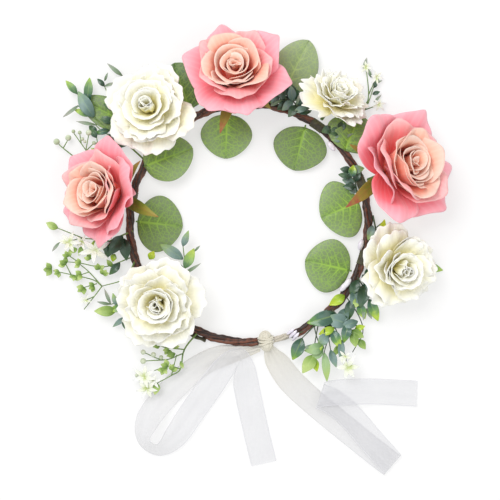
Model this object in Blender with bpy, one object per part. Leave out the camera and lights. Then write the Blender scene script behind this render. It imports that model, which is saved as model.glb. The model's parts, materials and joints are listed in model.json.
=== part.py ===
"""A flower crown lying flat: a vine hoop in two arms, seven wired flower heads, leaves, sprigs
and an organza tie ribbon, each as its own solid.

Metres, +Z up.  The hoop's axis is the Z axis and the surface it lies on is z = 0.  +Y is the
front of the crown and the tied opening is at -Y.  Angles are in degrees, counter-clockwise from
+X round the hoop's axis.
"""
from math import cos, pi, radians, sin

import bmesh
import bpy
from mathutils import Matrix, Vector

MM = 0.001

# Hoop
HOOP_RADIUS = 92.5 * MM
VINE_THICKNESS = 7.0 * MM
VINE_STEP = 8.0              # degrees between the vine's cross-sections
FRONT_ANGLE = 90.0
FRONT_GAP = 1.2 * MM         # between the two arms, where the hoop bends
RIGHT_END_ANGLE = -69.0
VINE_HEIGHT = VINE_THICKNESS / 2
LAYOUT_EDGE = 96.0 * MM      # the hoop's outer radius that the places in the tables below are for

# Clearances
FIT_GAP = 0.4 * MM           # between pieces that touch
STEM_GAP = 0.7 * MM          # between the vine and what tilts beside it

# Flower heads, for a head of scale 1, along its own axis from the bottom of its calyx
PETAL_THICKNESS = 0.8 * MM
STEM_RADIUS = 1.3 * MM
STEM_SIDES = 10
STEM_LOW_REACH = 0.45        # share of the way to the calyx at which the stem is still low
STEM_LOW_DROP = 0.1          # how far it lies below a straight line there, as a share of its rise
STEM_HIGH_REACH = 0.85
STEM_SWELL = 1.1             # its radius at these two places, as a share of STEM_RADIUS
STEM_NECK = 1.8
CALYX_RINGS = ((0.4, 0.85), (0.75, 1.0), (1.0, 0.95))   # share of the calyx's height, of its radius
PETAL_HOLE = 1.5 * MM        # radius of the hole in a layer of petals
ROSE_RADIUS = 38.0 * MM
ROSE_CALYX_RADIUS = 6.0 * MM
ROSE_CALYX_HEIGHT = 6.5 * MM
ROSE_OUTER_RISE = 15.0 * MM  # from the outer petals' middle to their highest ring
ROSE_MIDDLE_RADIUS = 27.0 * MM
ROSE_MIDDLE_RISE = 22.0 * MM
ROSE_BUD_RADIUS = 14.5 * MM
ROSE_BUD_HEIGHT = 26.0 * MM
ROSE_PETALS = 5
ROSE_OUTER_NOTCH = 0.14      # how far the rim dips between petals, as a share of its radius
ROSE_OUTER_WAVE = 4.0 * MM
ROSE_MIDDLE_NOTCH = 0.12
ROSE_MIDDLE_WAVE = 3.0 * MM
ROSE_BUD_FOLDS = 3
ROSE_BUD_FOLD_DEPTH = 0.18
ROSE_BUD_TWIST = 14.0        # degrees from one ring to the next
SEPAL_COUNT = 5
SEPAL_LENGTH = 29.0 * MM
SEPAL_SLOPE = 0.22
SEPAL_WIDTH = 7.0 * MM
SEPAL_DISC_RADIUS = 5.5 * MM
SEPAL_HOLE = 1.6 * MM
SEPAL_SHAPE = ((0.4, 1.0), (0.72, 0.75), (1.0, 0.2))    # share of its length, of its width
RUFFLE_RADIUS = 32.0 * MM
RUFFLE_CALYX_RADIUS = 4.5 * MM
RUFFLE_CALYX_HEIGHT = 5.0 * MM
RUFFLE_OUTER_RISE = 10.5 * MM
RUFFLE_TUFT_RADIUS = 20.0 * MM
RUFFLE_TUFT_HEIGHT = 17.0 * MM
RUFFLE_PETALS = 8
RUFFLE_HOLE = 1.3 * MM
RUFFLE_NOTCH = 0.10
RUFFLE_WAVE = 4.0 * MM
TUFT_FOLDS = 5
TUFT_FOLD_DEPTH = 0.16
TUFT_TWIST = 12.0
TUFT_SIDES = 20

# Leaves, sprigs and ribbon
LEAF_THICKNESS = 0.8 * MM
LEAF_ROWS = 7                # cross-sections along a leaf's blade
LEAF_ARCH = 6.0 * MM         # how far a blade's ends lie below its middle, times four
LEAF_FOLD = 0.08             # how far its edges lie below its midrib, as a share of its half width
PETIOLE_WIDTH = 1.8 * MM
SPRIG_THICKNESS = 0.9 * MM
SPRIG_STEM_WIDTH = 1.6 * MM
RIBBON_WIDTH = 20.0 * MM
RIBBON_THICKNESS = 0.6 * MM
KNOT_SIDES = 14
KNOT_RINGS = 8
KNOT_SIZE = Vector((11.0, 17.0, 9.0)) * MM
KNOT_ANGLE = -81.8
TIE_RADIUS = 2.9 * MM

# name, kind, scale, angle, radius of its centre, lean outwards, height of the calyx's bottom,
# turn of its petals, arm it is wired to
FLOWERS = (
    ("rose_front", "rose", 0.99, 95.0, 115.0 * MM, 22.0, 13.0 * MM, 10.0, "left"),
    ("rose_left", "rose", 1.0, 168.3, 113.0 * MM, 38.0, 14.0 * MM, 25.0, "left"),
    ("rose_right", "rose", 1.12, 20.0, 124.0 * MM, 38.0, 15.0 * MM, 50.0, "right"),
    ("white_upper_left", "ruffle", 1.02, 131.0, 116.0 * MM, 15.0, 14.0 * MM, 0.0, "left"),
    ("white_upper_right", "ruffle", 0.80, 55.0, 118.0 * MM, 42.0, 13.0 * MM, 15.0, "right"),
    ("white_right", "ruffle", 0.97, -17.0, 120.0 * MM, 25.0, 13.0 * MM, 30.0, "right"),
    ("white_left", "ruffle", 1.02, 222.0, 93.0 * MM, 8.0, 15.0 * MM, 8.0, "left"),
)
CENTRE_DEPTH = {"rose": 24.0 * MM, "ruffle": 17.0 * MM}   # from the calyx's bottom to the centre

# name, angle of its foot, side of the vine, angle, radius and height of its blade, blade length
# and width, arm
LEAVES = (
    ("leaf_front_inner", 101.0, "inner", 105.0, 69.5, 5.0, 34.0, 40.0, "left"),
    ("leaf_front_left", 118.0, "outer", 116.0, 118.0, 7.0, 38.0, 32.0, "left"),
    ("leaf_upper_left", 152.0, "top", 141.0, 80.0, 10.5, 40.0, 37.0, "left"),
    ("leaf_outer_left", 138.0, "outer", 142.0, 140.0, 8.5, 44.0, 15.0, "left"),
    ("leaf_left", 179.0, "inner", 181.0, 69.0, 5.0, 35.0, 44.0, "left"),
    ("leaf_front_right", 60.0, "inner", 56.0, 69.5, 5.0, 34.0, 42.0, "right"),
    ("leaf_front_outer", 76.0, "outer", 73.0, 126.0, 7.0, 46.0, 35.0, "right"),
    ("leaf_upper_right", 37.0, "top", 40.0, 103.0, 10.5, 36.0, 36.0, "right"),
    ("leaf_right", 11.0, "inner", 8.5, 71.0, 5.0, 31.0, 46.0, "right"),
    ("leaf_lower_right", -25.0, "inner", -28.0, 69.0, 5.0, 35.0, 42.0, "right"),
)

# name, stem's points (mm), leaves on each side, leaf length and width, arm
SPRIGS = (
    ("sprig_upper_left", ((-86, 52, 4), (-105, 74, 3), (-124, 95, 2), (-138, 110, 2)), 4, 15, 6, "left"),
    ("sprig_berry_left", ((-95, 31, 4), (-114, 42, 3), (-133, 53, 2), (-152, 64, 2)), 3, 9, 5, "left"),
    ("sprig_star_left", ((-99, -8, 4), (-118, -8, 3), (-136, -10, 2), (-154, -12, 2)), 4, 11, 5, "left"),
    ("sprig_bud_left", ((-97, -23, 4), (-116, -29, 3), (-133, -35, 2), (-150, -38, 2)), 4, 11, 5, "left"),
    ("sprig_leaf_left", ((-88, -42, 4), (-100, -49, 3), (-112, -56, 2), (-123, -61, 2)), 3, 11, 6, "left"),
    ("sprig_inner_left", ((-78, -37, 5), (-64, -31, 6), (-52, -22, 6), (-43, -10, 6)), 3, 13, 6, "left"),
    ("sprig_lower_left", ((-63, -77, 4), (-69, -95, 3), (-75, -110, 2), (-81, -124, 2)), 4, 11, 5, "left"),
    ("sprig_front", ((52, 78, 9.5), (42, 88, 10), (30, 96, 10), (15, 101, 10)), 4, 12, 6.3, "right"),
    ("sprig_upper_right", ((69, 73, 3), (80, 84, 2.5), (90, 97, 2), (95, 111, 2)), 4, 12, 6, "right"),
    ("sprig_right", ((102, 2, 4), (111, -8, 4), (126, -21, 3), (143, -33, 3)), 4, 11, 5, "right"),
    ("sprig_box_outer", ((78, -58, 5), (87, -58, 5), (96, -56, 5), (105, -53, 5)), 3, 11, 5.4, "right"),
    ("sprig_box_middle", ((68, -71, 5), (78, -83, 5), (84, -95, 5), (86, -108, 5)), 4, 15, 5.8, "right"),
    ("sprig_box_lower", ((56, -80, 5), (60, -96, 7), (62, -107, 9), (62, -118, 10.5)), 4, 14, 4.7, "right"),
    ("sprig_box_inner", ((42, -91, 2), (38, -99, 2), (36, -107, 2), (36, -115, 2)), 3, 12, 4.8, "right"),
)

# x, y, z of the ribbon's middle (mm), heading and lift of its width (degrees), share of its width
RIBBON_LEFT = (
    (6.0, -100.0, 1.0, 270, 0, 0.35),
    (-8, -101.5, 0.3, 272, 0, 0.45),
    (-22, -103.5, 0.3, 285, 0, 0.65),
    (-36, -109.5, 0.3, 305, 0, 0.9),
    (-50, -120, 0.3, 317, 0, 1.0),
    (-65, -135, 0.3, 319, 0, 1.0),
    (-78, -152, 5.2, 335, 20, 1.0),
    (-81, -168, 10.0, 380, 56, 1.0),
    (-70, -175, 10.0, 450, 56, 1.0),
    (-57, -165, 5.2, 487, 18, 1.0),
    (-45, -148, 1.4, 500, 0, 1.0),
    (-30, -127, 2.4, 497, 0, 1.0),
    (-18, -111, 4.6, 488, 0, 0.9),
    (-8, -104, 6.6, 440, 14, 0.8),
    (-4, -113, 3.4, 392, 0, 0.9),
    (-2, -127, 0.3, 374, 0, 1.0),
    (4, -155, 0.3, 372, 0, 1.0),
    (11.6, -187, 0.3, 373, 0, 1.0),
)
RIBBON_RIGHT = (
    (17.5, -100.5, 1.0, 20, 0, 0.5),
    (22, -108, 0.3, 30, 0, 0.75),
    (31.8, -121.7, 0.3, 42, 0, 1.0),
    (48.8, -138, 0.3, 48, 0, 1.0),
    (76, -160.4, 0.3, 49, 0, 1.0),
    (100, -179.5, 0.7, 49, 0, 1.0),
    (111.5, -187.6, 2.6, 49, 0, 1.0),
    (96, -170, 4.2, 48, 0, 1.0),
    (78, -149, 3.6, 50, 0, 1.0),
    (64, -138, 4.4, 58, 0, 1.0),
    (55, -133.5, 6.4, 72, 0, 1.0),
    (68, -131, 7.6, 86, 0, 1.0),
    (92, -130.5, 4.0, 89, 0, 1.0),
    (112, -131.5, 0.5, 88, 0, 1.0),
    (131, -132.5, 0.3, 88, 0, 1.0),
)
RIBBON_SAMPLES = 3           # cross-sections from one station to the next

# name: colour, roughness
FINISHES = {
    "vine": ((0.10, 0.045, 0.03), 0.7),
    "rose": ((0.90, 0.36, 0.34), 0.75),
    "rose_heart": ((0.95, 0.66, 0.56), 0.75),
    "white": ((0.92, 0.89, 0.78), 0.75),
    "leaf": ((0.17, 0.30, 0.12), 0.55),
    "stem": ((0.20, 0.32, 0.10), 0.6),
    "sprig": ((0.12, 0.28, 0.12), 0.55),
    "ribbon": ((0.90, 0.89, 0.84), 0.5),
    "knot": ((0.90, 0.84, 0.68), 0.6),
}


def polar(angle, radius, height=0.0):
    """The point at this angle and distance from the hoop's axis."""
    return Vector((radius * cos(radians(angle)), radius * sin(radians(angle)), height))


def laid_out(point):
    """A place from the tables, moved out or in with the hoop's outer edge."""
    outward = Vector((point.x, point.y, 0)).normalized()
    return point + outward * (HOOP_RADIUS + VINE_THICKNESS / 2 - LAYOUT_EDGE)


def smooth_path(stations, samples):
    """Rows of numbers along a Catmull-Rom curve through the stations."""
    rows = [Vector(row) for row in stations]
    ends = [rows[0] * 2 - rows[1]] + rows + [rows[-1] * 2 - rows[-2]]
    path = []
    for before, start, end, after in zip(ends, ends[1:], ends[2:], ends[3:]):
        for step in range(samples):
            t = step / samples
            path.append(0.5 * (2 * start + (end - before) * t
                               + (2 * before - 5 * start + 4 * end - after) * t ** 2
                               + (3 * start - before - 3 * end + after) * t ** 3))
    return path + [rows[-1]]


def make_material(name):
    colour, roughness = FINISHES[name]
    material = bpy.data.materials.get(name) or bpy.data.materials.new(name)
    material.use_nodes = True
    shader = material.node_tree.nodes["Principled BSDF"]
    shader.inputs["Base Color"].default_value = (*colour, 1.0)
    shader.inputs["Roughness"].default_value = roughness
    shader.inputs["Metallic"].default_value = 0.0
    return material


def add_object(name, data, finish, parent=None, location=(0, 0, 0), rotation=None):
    """Put data in the scene as an object placed in its parent's frame."""
    part = bpy.data.objects.new(name, data)
    bpy.context.collection.objects.link(part)
    data.materials.append(make_material(finish))
    part.parent = parent
    part.location = location
    if rotation is not None:
        part.rotation_mode = "QUATERNION"
        part.rotation_quaternion = rotation
    return part


def finish_mesh(mesh_tools, name):
    """Turn a bmesh into smooth shaded mesh data."""
    bmesh.ops.recalc_face_normals(mesh_tools, faces=mesh_tools.faces)
    mesh = bpy.data.meshes.new(name)
    mesh_tools.to_mesh(mesh)
    mesh_tools.free()
    mesh.shade_smooth()
    return mesh


def thicken(part, thickness):
    """Give a sheet its thickness, half on each side."""
    solidify = part.modifiers.new("thickness", "SOLIDIFY")
    solidify.thickness = thickness
    solidify.offset = 0.0


def add_pivot(name, location, parent=None):
    """An empty on a joint's axis, which carries what the joint moves."""
    pivot = bpy.data.objects.new(name, None)
    bpy.context.collection.objects.link(pivot)
    pivot.empty_display_size = 10 * MM
    pivot.parent = parent
    pivot.location = location
    return pivot


def add_tube(name, points, radius, finish, parent=None):
    """A round bar along the points, with flat ends."""
    curve = bpy.data.curves.new(name, "CURVE")
    curve.dimensions = "3D"
    curve.bevel_depth = radius
    curve.bevel_resolution = 3
    curve.use_fill_caps = True
    spline = curve.splines.new("POLY")
    spline.points.add(len(points) - 1)
    for place, point in zip(spline.points, points):
        place.co = (*point, 1.0)
    return add_object(name, curve, finish, parent)


def bridge_rings(mesh_tools, rings):
    """Faces between closed rings of vertices."""
    for low, high in zip(rings, rings[1:]):
        for index in range(len(low)):
            following = (index + 1) % len(low)
            mesh_tools.faces.new((low[index], low[following], high[following], high[index]))


# Hoop

def hoop_arc(start, end):
    """Points of the vine's middle from one angle to another."""
    count = max(2, round(abs(end - start) / VINE_STEP))
    return [polar(start + (end - start) * step / count, HOOP_RADIUS, VINE_HEIGHT)
            for step in range(count + 1)]


def build_hoop(right_pivot):
    half_gap = FRONT_GAP / 2 / HOOP_RADIUS * 180 / pi
    left_end = 360 + KNOT_ANGLE - (KNOT_SIZE.x / 2 + FIT_GAP) / HOOP_RADIUS * 180 / pi
    add_tube("hoop_left", hoop_arc(FRONT_ANGLE + half_gap, left_end), VINE_HEIGHT, "vine")
    right_points = hoop_arc(FRONT_ANGLE - half_gap, RIGHT_END_ANGLE)
    relative = [point - right_pivot.location for point in right_points]
    add_tube("hoop_right", relative, VINE_HEIGHT, "vine", right_pivot)


# Flower heads

class Head:
    """Where one flower head sits: its pivot on the vine, its calyx and its axis."""

    def __init__(self, scale, kind, angle, radius, lean, base_height):
        self.scale = scale
        self.angle = angle
        outward = polar(angle, 1.0)
        self.axis = outward * sin(radians(lean)) + Vector((0, 0, cos(radians(lean))))
        base_radius = radius - CENTRE_DEPTH[kind] * scale * sin(radians(lean))
        self.base = polar(angle, base_radius, base_height)
        beside_vine = HOOP_RADIUS + VINE_THICKNESS / 2 + STEM_GAP + STEM_RADIUS
        if base_radius > beside_vine:
            self.pivot = polar(angle, beside_vine, VINE_HEIGHT + STEM_RADIUS)
        else:
            self.pivot = polar(angle, base_radius, VINE_THICKNESS + STEM_GAP)
        self.turn = self.axis.to_track_quat("Z", "Y")


def add_stem(name, head, calyx_radius, calyx_height, pivot):
    """The wired stem from beside the vine, ending in the calyx that holds the petals."""
    start = head.pivot
    reach = head.base - start
    rise = Vector((0, 0, reach.z))
    path = [start,
            start + reach * STEM_LOW_REACH - rise * STEM_LOW_DROP,
            start + reach * STEM_HIGH_REACH,
            head.base + head.axis * MM]
    radii = [STEM_RADIUS, STEM_RADIUS, STEM_RADIUS * STEM_SWELL, STEM_RADIUS * STEM_NECK]
    for share, swell in CALYX_RINGS:
        path.append(head.base + head.axis * calyx_height * head.scale * share)
        radii.append(calyx_radius * head.scale * swell)
    mesh_tools = bmesh.new()
    rings = []
    for index, (point, radius) in enumerate(zip(path, radii)):
        along = path[min(index + 1, len(path) - 1)] - path[max(index - 1, 0)]
        turn = along.to_track_quat("Z", "Y")
        ring = [mesh_tools.verts.new(point - start + turn @ polar(360 * side / STEM_SIDES, radius))
                for side in range(STEM_SIDES)]
        rings.append(ring)
    bridge_rings(mesh_tools, rings)
    mesh_tools.faces.new(rings[0])
    mesh_tools.faces.new(rings[-1])
    add_object(name, finish_mesh(mesh_tools, name), "stem", pivot)


def add_petals(name, head, profile, petals, notch, wave, turn, finish, pivot):
    """One die-cut layer of joined petals, a lobed cup with a hole for the stem.

    profile runs from the hole to the rim as (radius, height); notch is how far the rim dips in
    between petals, as a share of its radius, and wave how far it rises and falls.
    """
    mesh_tools = bmesh.new()
    segments = petals * (4 if petals <= ROSE_PETALS else 3)
    rings = []
    for index, (radius, height) in enumerate(profile):
        share = index / (len(profile) - 1)
        ring = []
        for segment in range(segments):
            angle = 360 * segment / segments
            lobe = abs(cos(radians(petals * angle / 2)))
            reach = radius * (1 - notch * share ** 2 * (1 - lobe)) * head.scale
            lift = (height + wave * share ** 2 * (lobe - 0.5)) * head.scale
            ring.append(mesh_tools.verts.new(polar(angle + turn, reach, lift)))
        rings.append(ring)
    bridge_rings(mesh_tools, rings)
    part = add_object(name, finish_mesh(mesh_tools, name), finish, pivot,
                      head.base - head.pivot, head.turn)
    thicken(part, PETAL_THICKNESS)


def add_tuft(name, head, profile, folds, depth, twist, finish, pivot):
    """A closed bud or tuft: rings that swell and close, folded in and turned as they rise."""
    mesh_tools = bmesh.new()
    rings = []
    for index, (radius, height) in enumerate(profile[1:-1]):
        ring = []
        for segment in range(TUFT_SIDES):
            angle = 360 * segment / TUFT_SIDES
            fold = 1 - depth * (0.5 - 0.5 * cos(radians(folds * angle)))
            ring.append(mesh_tools.verts.new(
                polar(angle + twist * index, radius * fold * head.scale, height * head.scale)))
        rings.append(ring)
    bridge_rings(mesh_tools, rings)
    for ring, (_, height) in ((rings[0], profile[0]), (rings[-1], profile[-1])):
        pole = mesh_tools.verts.new((0, 0, height * head.scale))
        for index, corner in enumerate(ring):
            mesh_tools.faces.new((corner, ring[(index + 1) % TUFT_SIDES], pole))
    add_object(name, finish_mesh(mesh_tools, name), finish, pivot, head.base - head.pivot, head.turn)


def add_sepals(name, head, base_height, under, turn, pivot):
    """A five-pointed star of sepals, which lies under the outer petals' profile."""
    mesh_tools = bmesh.new()
    points = 2 * SEPAL_COUNT
    height = base_height * head.scale
    angles = [360 * index / points + turn for index in range(points)]
    inner = [mesh_tools.verts.new(polar(angle, SEPAL_HOLE, height)) for angle in angles]
    outer = [mesh_tools.verts.new(polar(angle, SEPAL_DISC_RADIUS, height)) for angle in angles]
    bridge_rings(mesh_tools, [inner, outer])
    for arm in range(0, points, 2):
        middle = 360 * (arm + 0.5) / points + turn
        edge = (outer[arm], outer[arm + 1])
        for share, width in SEPAL_SHAPE:
            reach = SEPAL_LENGTH * share * head.scale
            drop = under(reach / head.scale) * head.scale
            half = SEPAL_WIDTH * width / 2
            spread = half / reach * 180 / pi
            following = (mesh_tools.verts.new(polar(middle - spread, reach, drop)),
                         mesh_tools.verts.new(polar(middle + spread, reach, drop)))
            mesh_tools.faces.new((edge[0], edge[1], following[1], following[0]))
            edge = following
    part = add_object(name, finish_mesh(mesh_tools, name), "stem", pivot,
                      head.base - head.pivot, head.turn)
    thicken(part, PETAL_THICKNESS)


def build_rose(name, head, turn, pivot):
    layer_gap = PETAL_THICKNESS + FIT_GAP
    sepal_height = ROSE_CALYX_HEIGHT + layer_gap
    outer_height = sepal_height + layer_gap
    middle_height = outer_height + layer_gap
    bud_height = middle_height + layer_gap

    outer = ((PETAL_HOLE, outer_height),
             (ROSE_RADIUS * 0.30, outer_height + ROSE_OUTER_RISE * 0.12),
             (ROSE_RADIUS * 0.62, outer_height + ROSE_OUTER_RISE * 0.55),
             (ROSE_RADIUS * 0.86, outer_height + ROSE_OUTER_RISE),
             (ROSE_RADIUS, outer_height + ROSE_OUTER_RISE * 0.88))
    middle = ((PETAL_HOLE, middle_height),
              (ROSE_MIDDLE_RADIUS * 0.42, middle_height + ROSE_MIDDLE_RISE * 0.14),
              (ROSE_MIDDLE_RADIUS * 0.78, middle_height + ROSE_MIDDLE_RISE * 0.60),
              (ROSE_MIDDLE_RADIUS, middle_height + ROSE_MIDDLE_RISE))
    bud = ((0, bud_height),
           (ROSE_BUD_RADIUS * 0.45, bud_height + ROSE_BUD_HEIGHT * 0.04),
           (ROSE_BUD_RADIUS * 0.85, bud_height + ROSE_BUD_HEIGHT * 0.30),
           (ROSE_BUD_RADIUS, bud_height + ROSE_BUD_HEIGHT * 0.62),
           (ROSE_BUD_RADIUS * 0.82, bud_height + ROSE_BUD_HEIGHT * 0.93),
           (ROSE_BUD_RADIUS * 0.45, bud_height + ROSE_BUD_HEIGHT),
           (0, bud_height + ROSE_BUD_HEIGHT * 0.9))

    def under_outer(reach):
        """A height that rises more slowly than the outer petals above it."""
        return sepal_height + SEPAL_SLOPE * max(0.0, reach - ROSE_CALYX_RADIUS)

    add_stem(name + "_stem", head, ROSE_CALYX_RADIUS, ROSE_CALYX_HEIGHT, pivot)
    add_sepals(name + "_sepals", head, sepal_height, under_outer, turn, pivot)
    between_petals = 180 / ROSE_PETALS
    add_petals(name + "_outer_petals", head, outer, ROSE_PETALS, ROSE_OUTER_NOTCH, ROSE_OUTER_WAVE,
               turn, "rose", pivot)
    add_petals(name + "_middle_petals", head, middle, ROSE_PETALS, ROSE_MIDDLE_NOTCH,
               ROSE_MIDDLE_WAVE, turn + between_petals, "rose", pivot)
    add_tuft(name + "_bud", head, bud, ROSE_BUD_FOLDS, ROSE_BUD_FOLD_DEPTH, ROSE_BUD_TWIST,
             "rose_heart", pivot)


def build_ruffled_flower(name, head, turn, pivot):
    layer_gap = PETAL_THICKNESS + FIT_GAP
    outer_height = RUFFLE_CALYX_HEIGHT + layer_gap
    tuft_height = outer_height + layer_gap
    outer = ((RUFFLE_HOLE, outer_height),
             (RUFFLE_RADIUS * 0.35, outer_height + RUFFLE_OUTER_RISE * 0.15),
             (RUFFLE_RADIUS * 0.72, outer_height + RUFFLE_OUTER_RISE * 0.55),
             (RUFFLE_RADIUS, outer_height + RUFFLE_OUTER_RISE))
    tuft = ((0, tuft_height),
            (RUFFLE_TUFT_RADIUS * 0.45, tuft_height + RUFFLE_TUFT_HEIGHT * 0.12),
            (RUFFLE_TUFT_RADIUS * 0.90, tuft_height + RUFFLE_TUFT_HEIGHT * 0.50),
            (RUFFLE_TUFT_RADIUS, tuft_height + RUFFLE_TUFT_HEIGHT * 0.75),
            (RUFFLE_TUFT_RADIUS * 0.55, tuft_height + RUFFLE_TUFT_HEIGHT),
            (0, tuft_height + RUFFLE_TUFT_HEIGHT * 0.94))
    add_stem(name + "_stem", head, RUFFLE_CALYX_RADIUS, RUFFLE_CALYX_HEIGHT, pivot)
    add_petals(name + "_outer_petals", head, outer, RUFFLE_PETALS, RUFFLE_NOTCH, RUFFLE_WAVE, turn,
               "white", pivot)
    add_tuft(name + "_inner_petals", head, tuft, TUFT_FOLDS, TUFT_FOLD_DEPTH, TUFT_TWIST, "white",
             pivot)


def build_flowers(arms):
    builders = {"rose": build_rose, "ruffle": build_ruffled_flower}
    for name, kind, scale, angle, radius, lean, base_height, turn, arm in FLOWERS:
        head = Head(scale, kind, angle, laid_out(polar(angle, radius)).length, lean, base_height)
        pivot = add_pivot(name + "_pivot", head.pivot - arms[arm].location, arms[arm])
        builders[kind](name, head, turn, pivot)


# Leaves and sprigs

def leaf_foot(angle, side):
    """Where a leaf's petiole meets the vine."""
    clear = VINE_THICKNESS / 2 + 2 * FIT_GAP
    feet = {
        "inner": polar(angle, HOOP_RADIUS - clear, VINE_HEIGHT),
        "outer": polar(angle, HOOP_RADIUS + clear, VINE_HEIGHT),
        "top": polar(angle, HOOP_RADIUS, VINE_HEIGHT + clear),
    }
    return feet[side]


def add_leaf(name, foot, centre, length, width, pivot):
    """A round, slightly folded leaf whose midrib runs from its foot through its blade's centre."""
    along = Vector((centre.x - foot.x, centre.y - foot.y, 0)).normalized()
    across = Vector((-along.y, along.x, 0))
    blade_start = centre - along * length / 2
    petiole = [(foot.lerp(blade_start, share), PETIOLE_WIDTH / 2) for share in (0.0, 0.5)]
    for row_point, _ in petiole:
        share = (row_point - foot).length / max((blade_start - foot).length, MM)
        row_point.z = foot.z + (centre.z - foot.z) * share
    rows = list(petiole)
    for index in range(LEAF_ROWS + 1):
        share = index / LEAF_ROWS
        fullness = sin(pi * share ** 0.85) ** 0.6 if 0 < index < LEAF_ROWS else 0.0
        half = max(width / 2 * fullness, PETIOLE_WIDTH / 2)
        point = blade_start + along * length * share
        point.z = centre.z - LEAF_ARCH * (share - 0.5) ** 2
        rows.append((point, half))
    mesh_tools = bmesh.new()
    lines = []
    for point, half in rows:
        drop = Vector((0, 0, LEAF_FOLD * half))
        lines.append([mesh_tools.verts.new(point - across * half - drop - pivot.location),
                      mesh_tools.verts.new(point - pivot.location),
                      mesh_tools.verts.new(point + across * half - drop - pivot.location)])
    for low, high in zip(lines, lines[1:]):
        for side in (0, 1):
            mesh_tools.faces.new((low[side], low[side + 1], high[side + 1], high[side]))
    part = add_object(name, finish_mesh(mesh_tools, name), "leaf", pivot)
    thicken(part, LEAF_THICKNESS)


def build_leaves(arms):
    for name, foot_angle, side, angle, radius, height, length, width, arm in LEAVES:
        foot = leaf_foot(foot_angle, side)
        centre = laid_out(polar(angle, radius * MM, height * MM))
        add_leaf(name, foot, centre, length * MM, width * MM, arms[arm])


def add_sprig(name, stem_points, pairs, leaf_length, leaf_width, pivot):
    """A flat spray: a thin stem with leaves that sweep forward from both its edges."""
    bands = pairs * 2
    path = smooth_path([laid_out(Vector(point) * MM) for point in stem_points], bands)
    stations = [path[round(band * (len(path) - 1) / bands)] for band in range(bands + 1)]
    mesh_tools = bmesh.new()
    edges = []
    for index, point in enumerate(stations):
        along = (stations[min(index + 1, bands)] - stations[max(index - 1, 0)]).normalized()
        across = Vector((-along.y, along.x, 0)).normalized()
        half = across * SPRIG_STEM_WIDTH / 2
        edges.append((point - half, point + half, along, across))
    lines = [[mesh_tools.verts.new(edge - pivot.location) for edge in row[:2]] for row in edges]
    for low, high in zip(lines, lines[1:]):
        mesh_tools.faces.new((low[0], low[1], high[1], high[0]))
    for band in range(bands):
        side = band % 2
        sign = 1 if side else -1
        root = (edges[band][side] + edges[band + 1][side]) / 2
        along, across = edges[band][2], edges[band][3] * sign
        sweep = (along + across).normalized()
        square = (across - along).normalized()
        bulge = root + sweep * leaf_length * 0.5
        corners = [bulge + square * leaf_width / 2, root + sweep * leaf_length,
                   bulge - square * leaf_width / 2]
        added = [mesh_tools.verts.new(corner - pivot.location) for corner in corners]
        mesh_tools.faces.new((lines[band][side], lines[band + 1][side], added[2], added[1], added[0]))
    bmesh.ops.triangulate(mesh_tools, faces=mesh_tools.faces)
    part = add_object(name, finish_mesh(mesh_tools, name), "sprig", pivot)
    thicken(part, SPRIG_THICKNESS)


def build_sprigs(arms):
    for name, stem_points, pairs, leaf_length, leaf_width, arm in SPRIGS:
        add_sprig(name, stem_points, pairs, leaf_length * MM, leaf_width * MM, arms[arm])


# Ribbon

def add_ribbon(name, stations):
    mesh_tools = bmesh.new()
    lines = []
    for x, y, z, heading, lift, share in smooth_path(stations, RIBBON_SAMPLES):
        middle = laid_out(Vector((x * MM, y * MM, max(z * MM, RIBBON_THICKNESS / 2))))
        slant = radians(max(lift, 0.0))
        width = polar(heading, cos(slant), sin(slant)) * RIBBON_WIDTH * share
        lines.append((mesh_tools.verts.new(middle - width / 2), mesh_tools.verts.new(middle + width / 2)))
    for low, high in zip(lines, lines[1:]):
        mesh_tools.faces.new((low[0], low[1], high[1], high[0]))
    part = add_object(name, finish_mesh(mesh_tools, name), "ribbon")
    thicken(part, RIBBON_THICKNESS)


def build_ribbon():
    add_ribbon("ribbon_left", RIBBON_LEFT)
    add_ribbon("ribbon_right", RIBBON_RIGHT)

    mesh_tools = bmesh.new()
    bmesh.ops.create_uvsphere(mesh_tools, u_segments=KNOT_SIDES, v_segments=KNOT_RINGS, radius=0.5)
    bmesh.ops.scale(mesh_tools, vec=KNOT_SIZE, verts=mesh_tools.verts)
    knot_turn = Matrix.Rotation(radians(KNOT_ANGLE + 90), 3, "Z")
    bmesh.ops.rotate(mesh_tools, matrix=knot_turn, verts=mesh_tools.verts)
    place = polar(KNOT_ANGLE, HOOP_RADIUS, KNOT_SIZE.z / 2)
    add_object("ribbon_knot", finish_mesh(mesh_tools, "ribbon_knot"), "knot", location=place)

    knot_edge = KNOT_ANGLE + (KNOT_SIZE.x / 2 + FIT_GAP) / HOOP_RADIUS * 180 / pi
    vine_end = RIGHT_END_ANGLE - FIT_GAP / HOOP_RADIUS * 180 / pi
    add_tube("ribbon_tie", hoop_arc(knot_edge, vine_end), TIE_RADIUS, "knot")


def main():
    for old in list(bpy.data.objects):
        bpy.data.objects.remove(old)
    left = add_pivot("left_arm", (0, 0, 0))
    right = add_pivot("hoop_flex_pivot", polar(FRONT_ANGLE, HOOP_RADIUS))
    arms = {"left": left, "right": right}
    build_hoop(right)
    build_flowers(arms)
    build_leaves(arms)
    build_sprigs(arms)
    build_ribbon()


main()
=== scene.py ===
"""The looks of a flower crown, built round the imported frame: petals, leaves, sprigs, a twisted
vine and an organza ribbon.  Metres, +Z up, in the frame's own axes."""
import json
from math import cos, pi, radians, sin

import bpy
import numpy as np
from mathutils import Matrix, Vector

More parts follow.
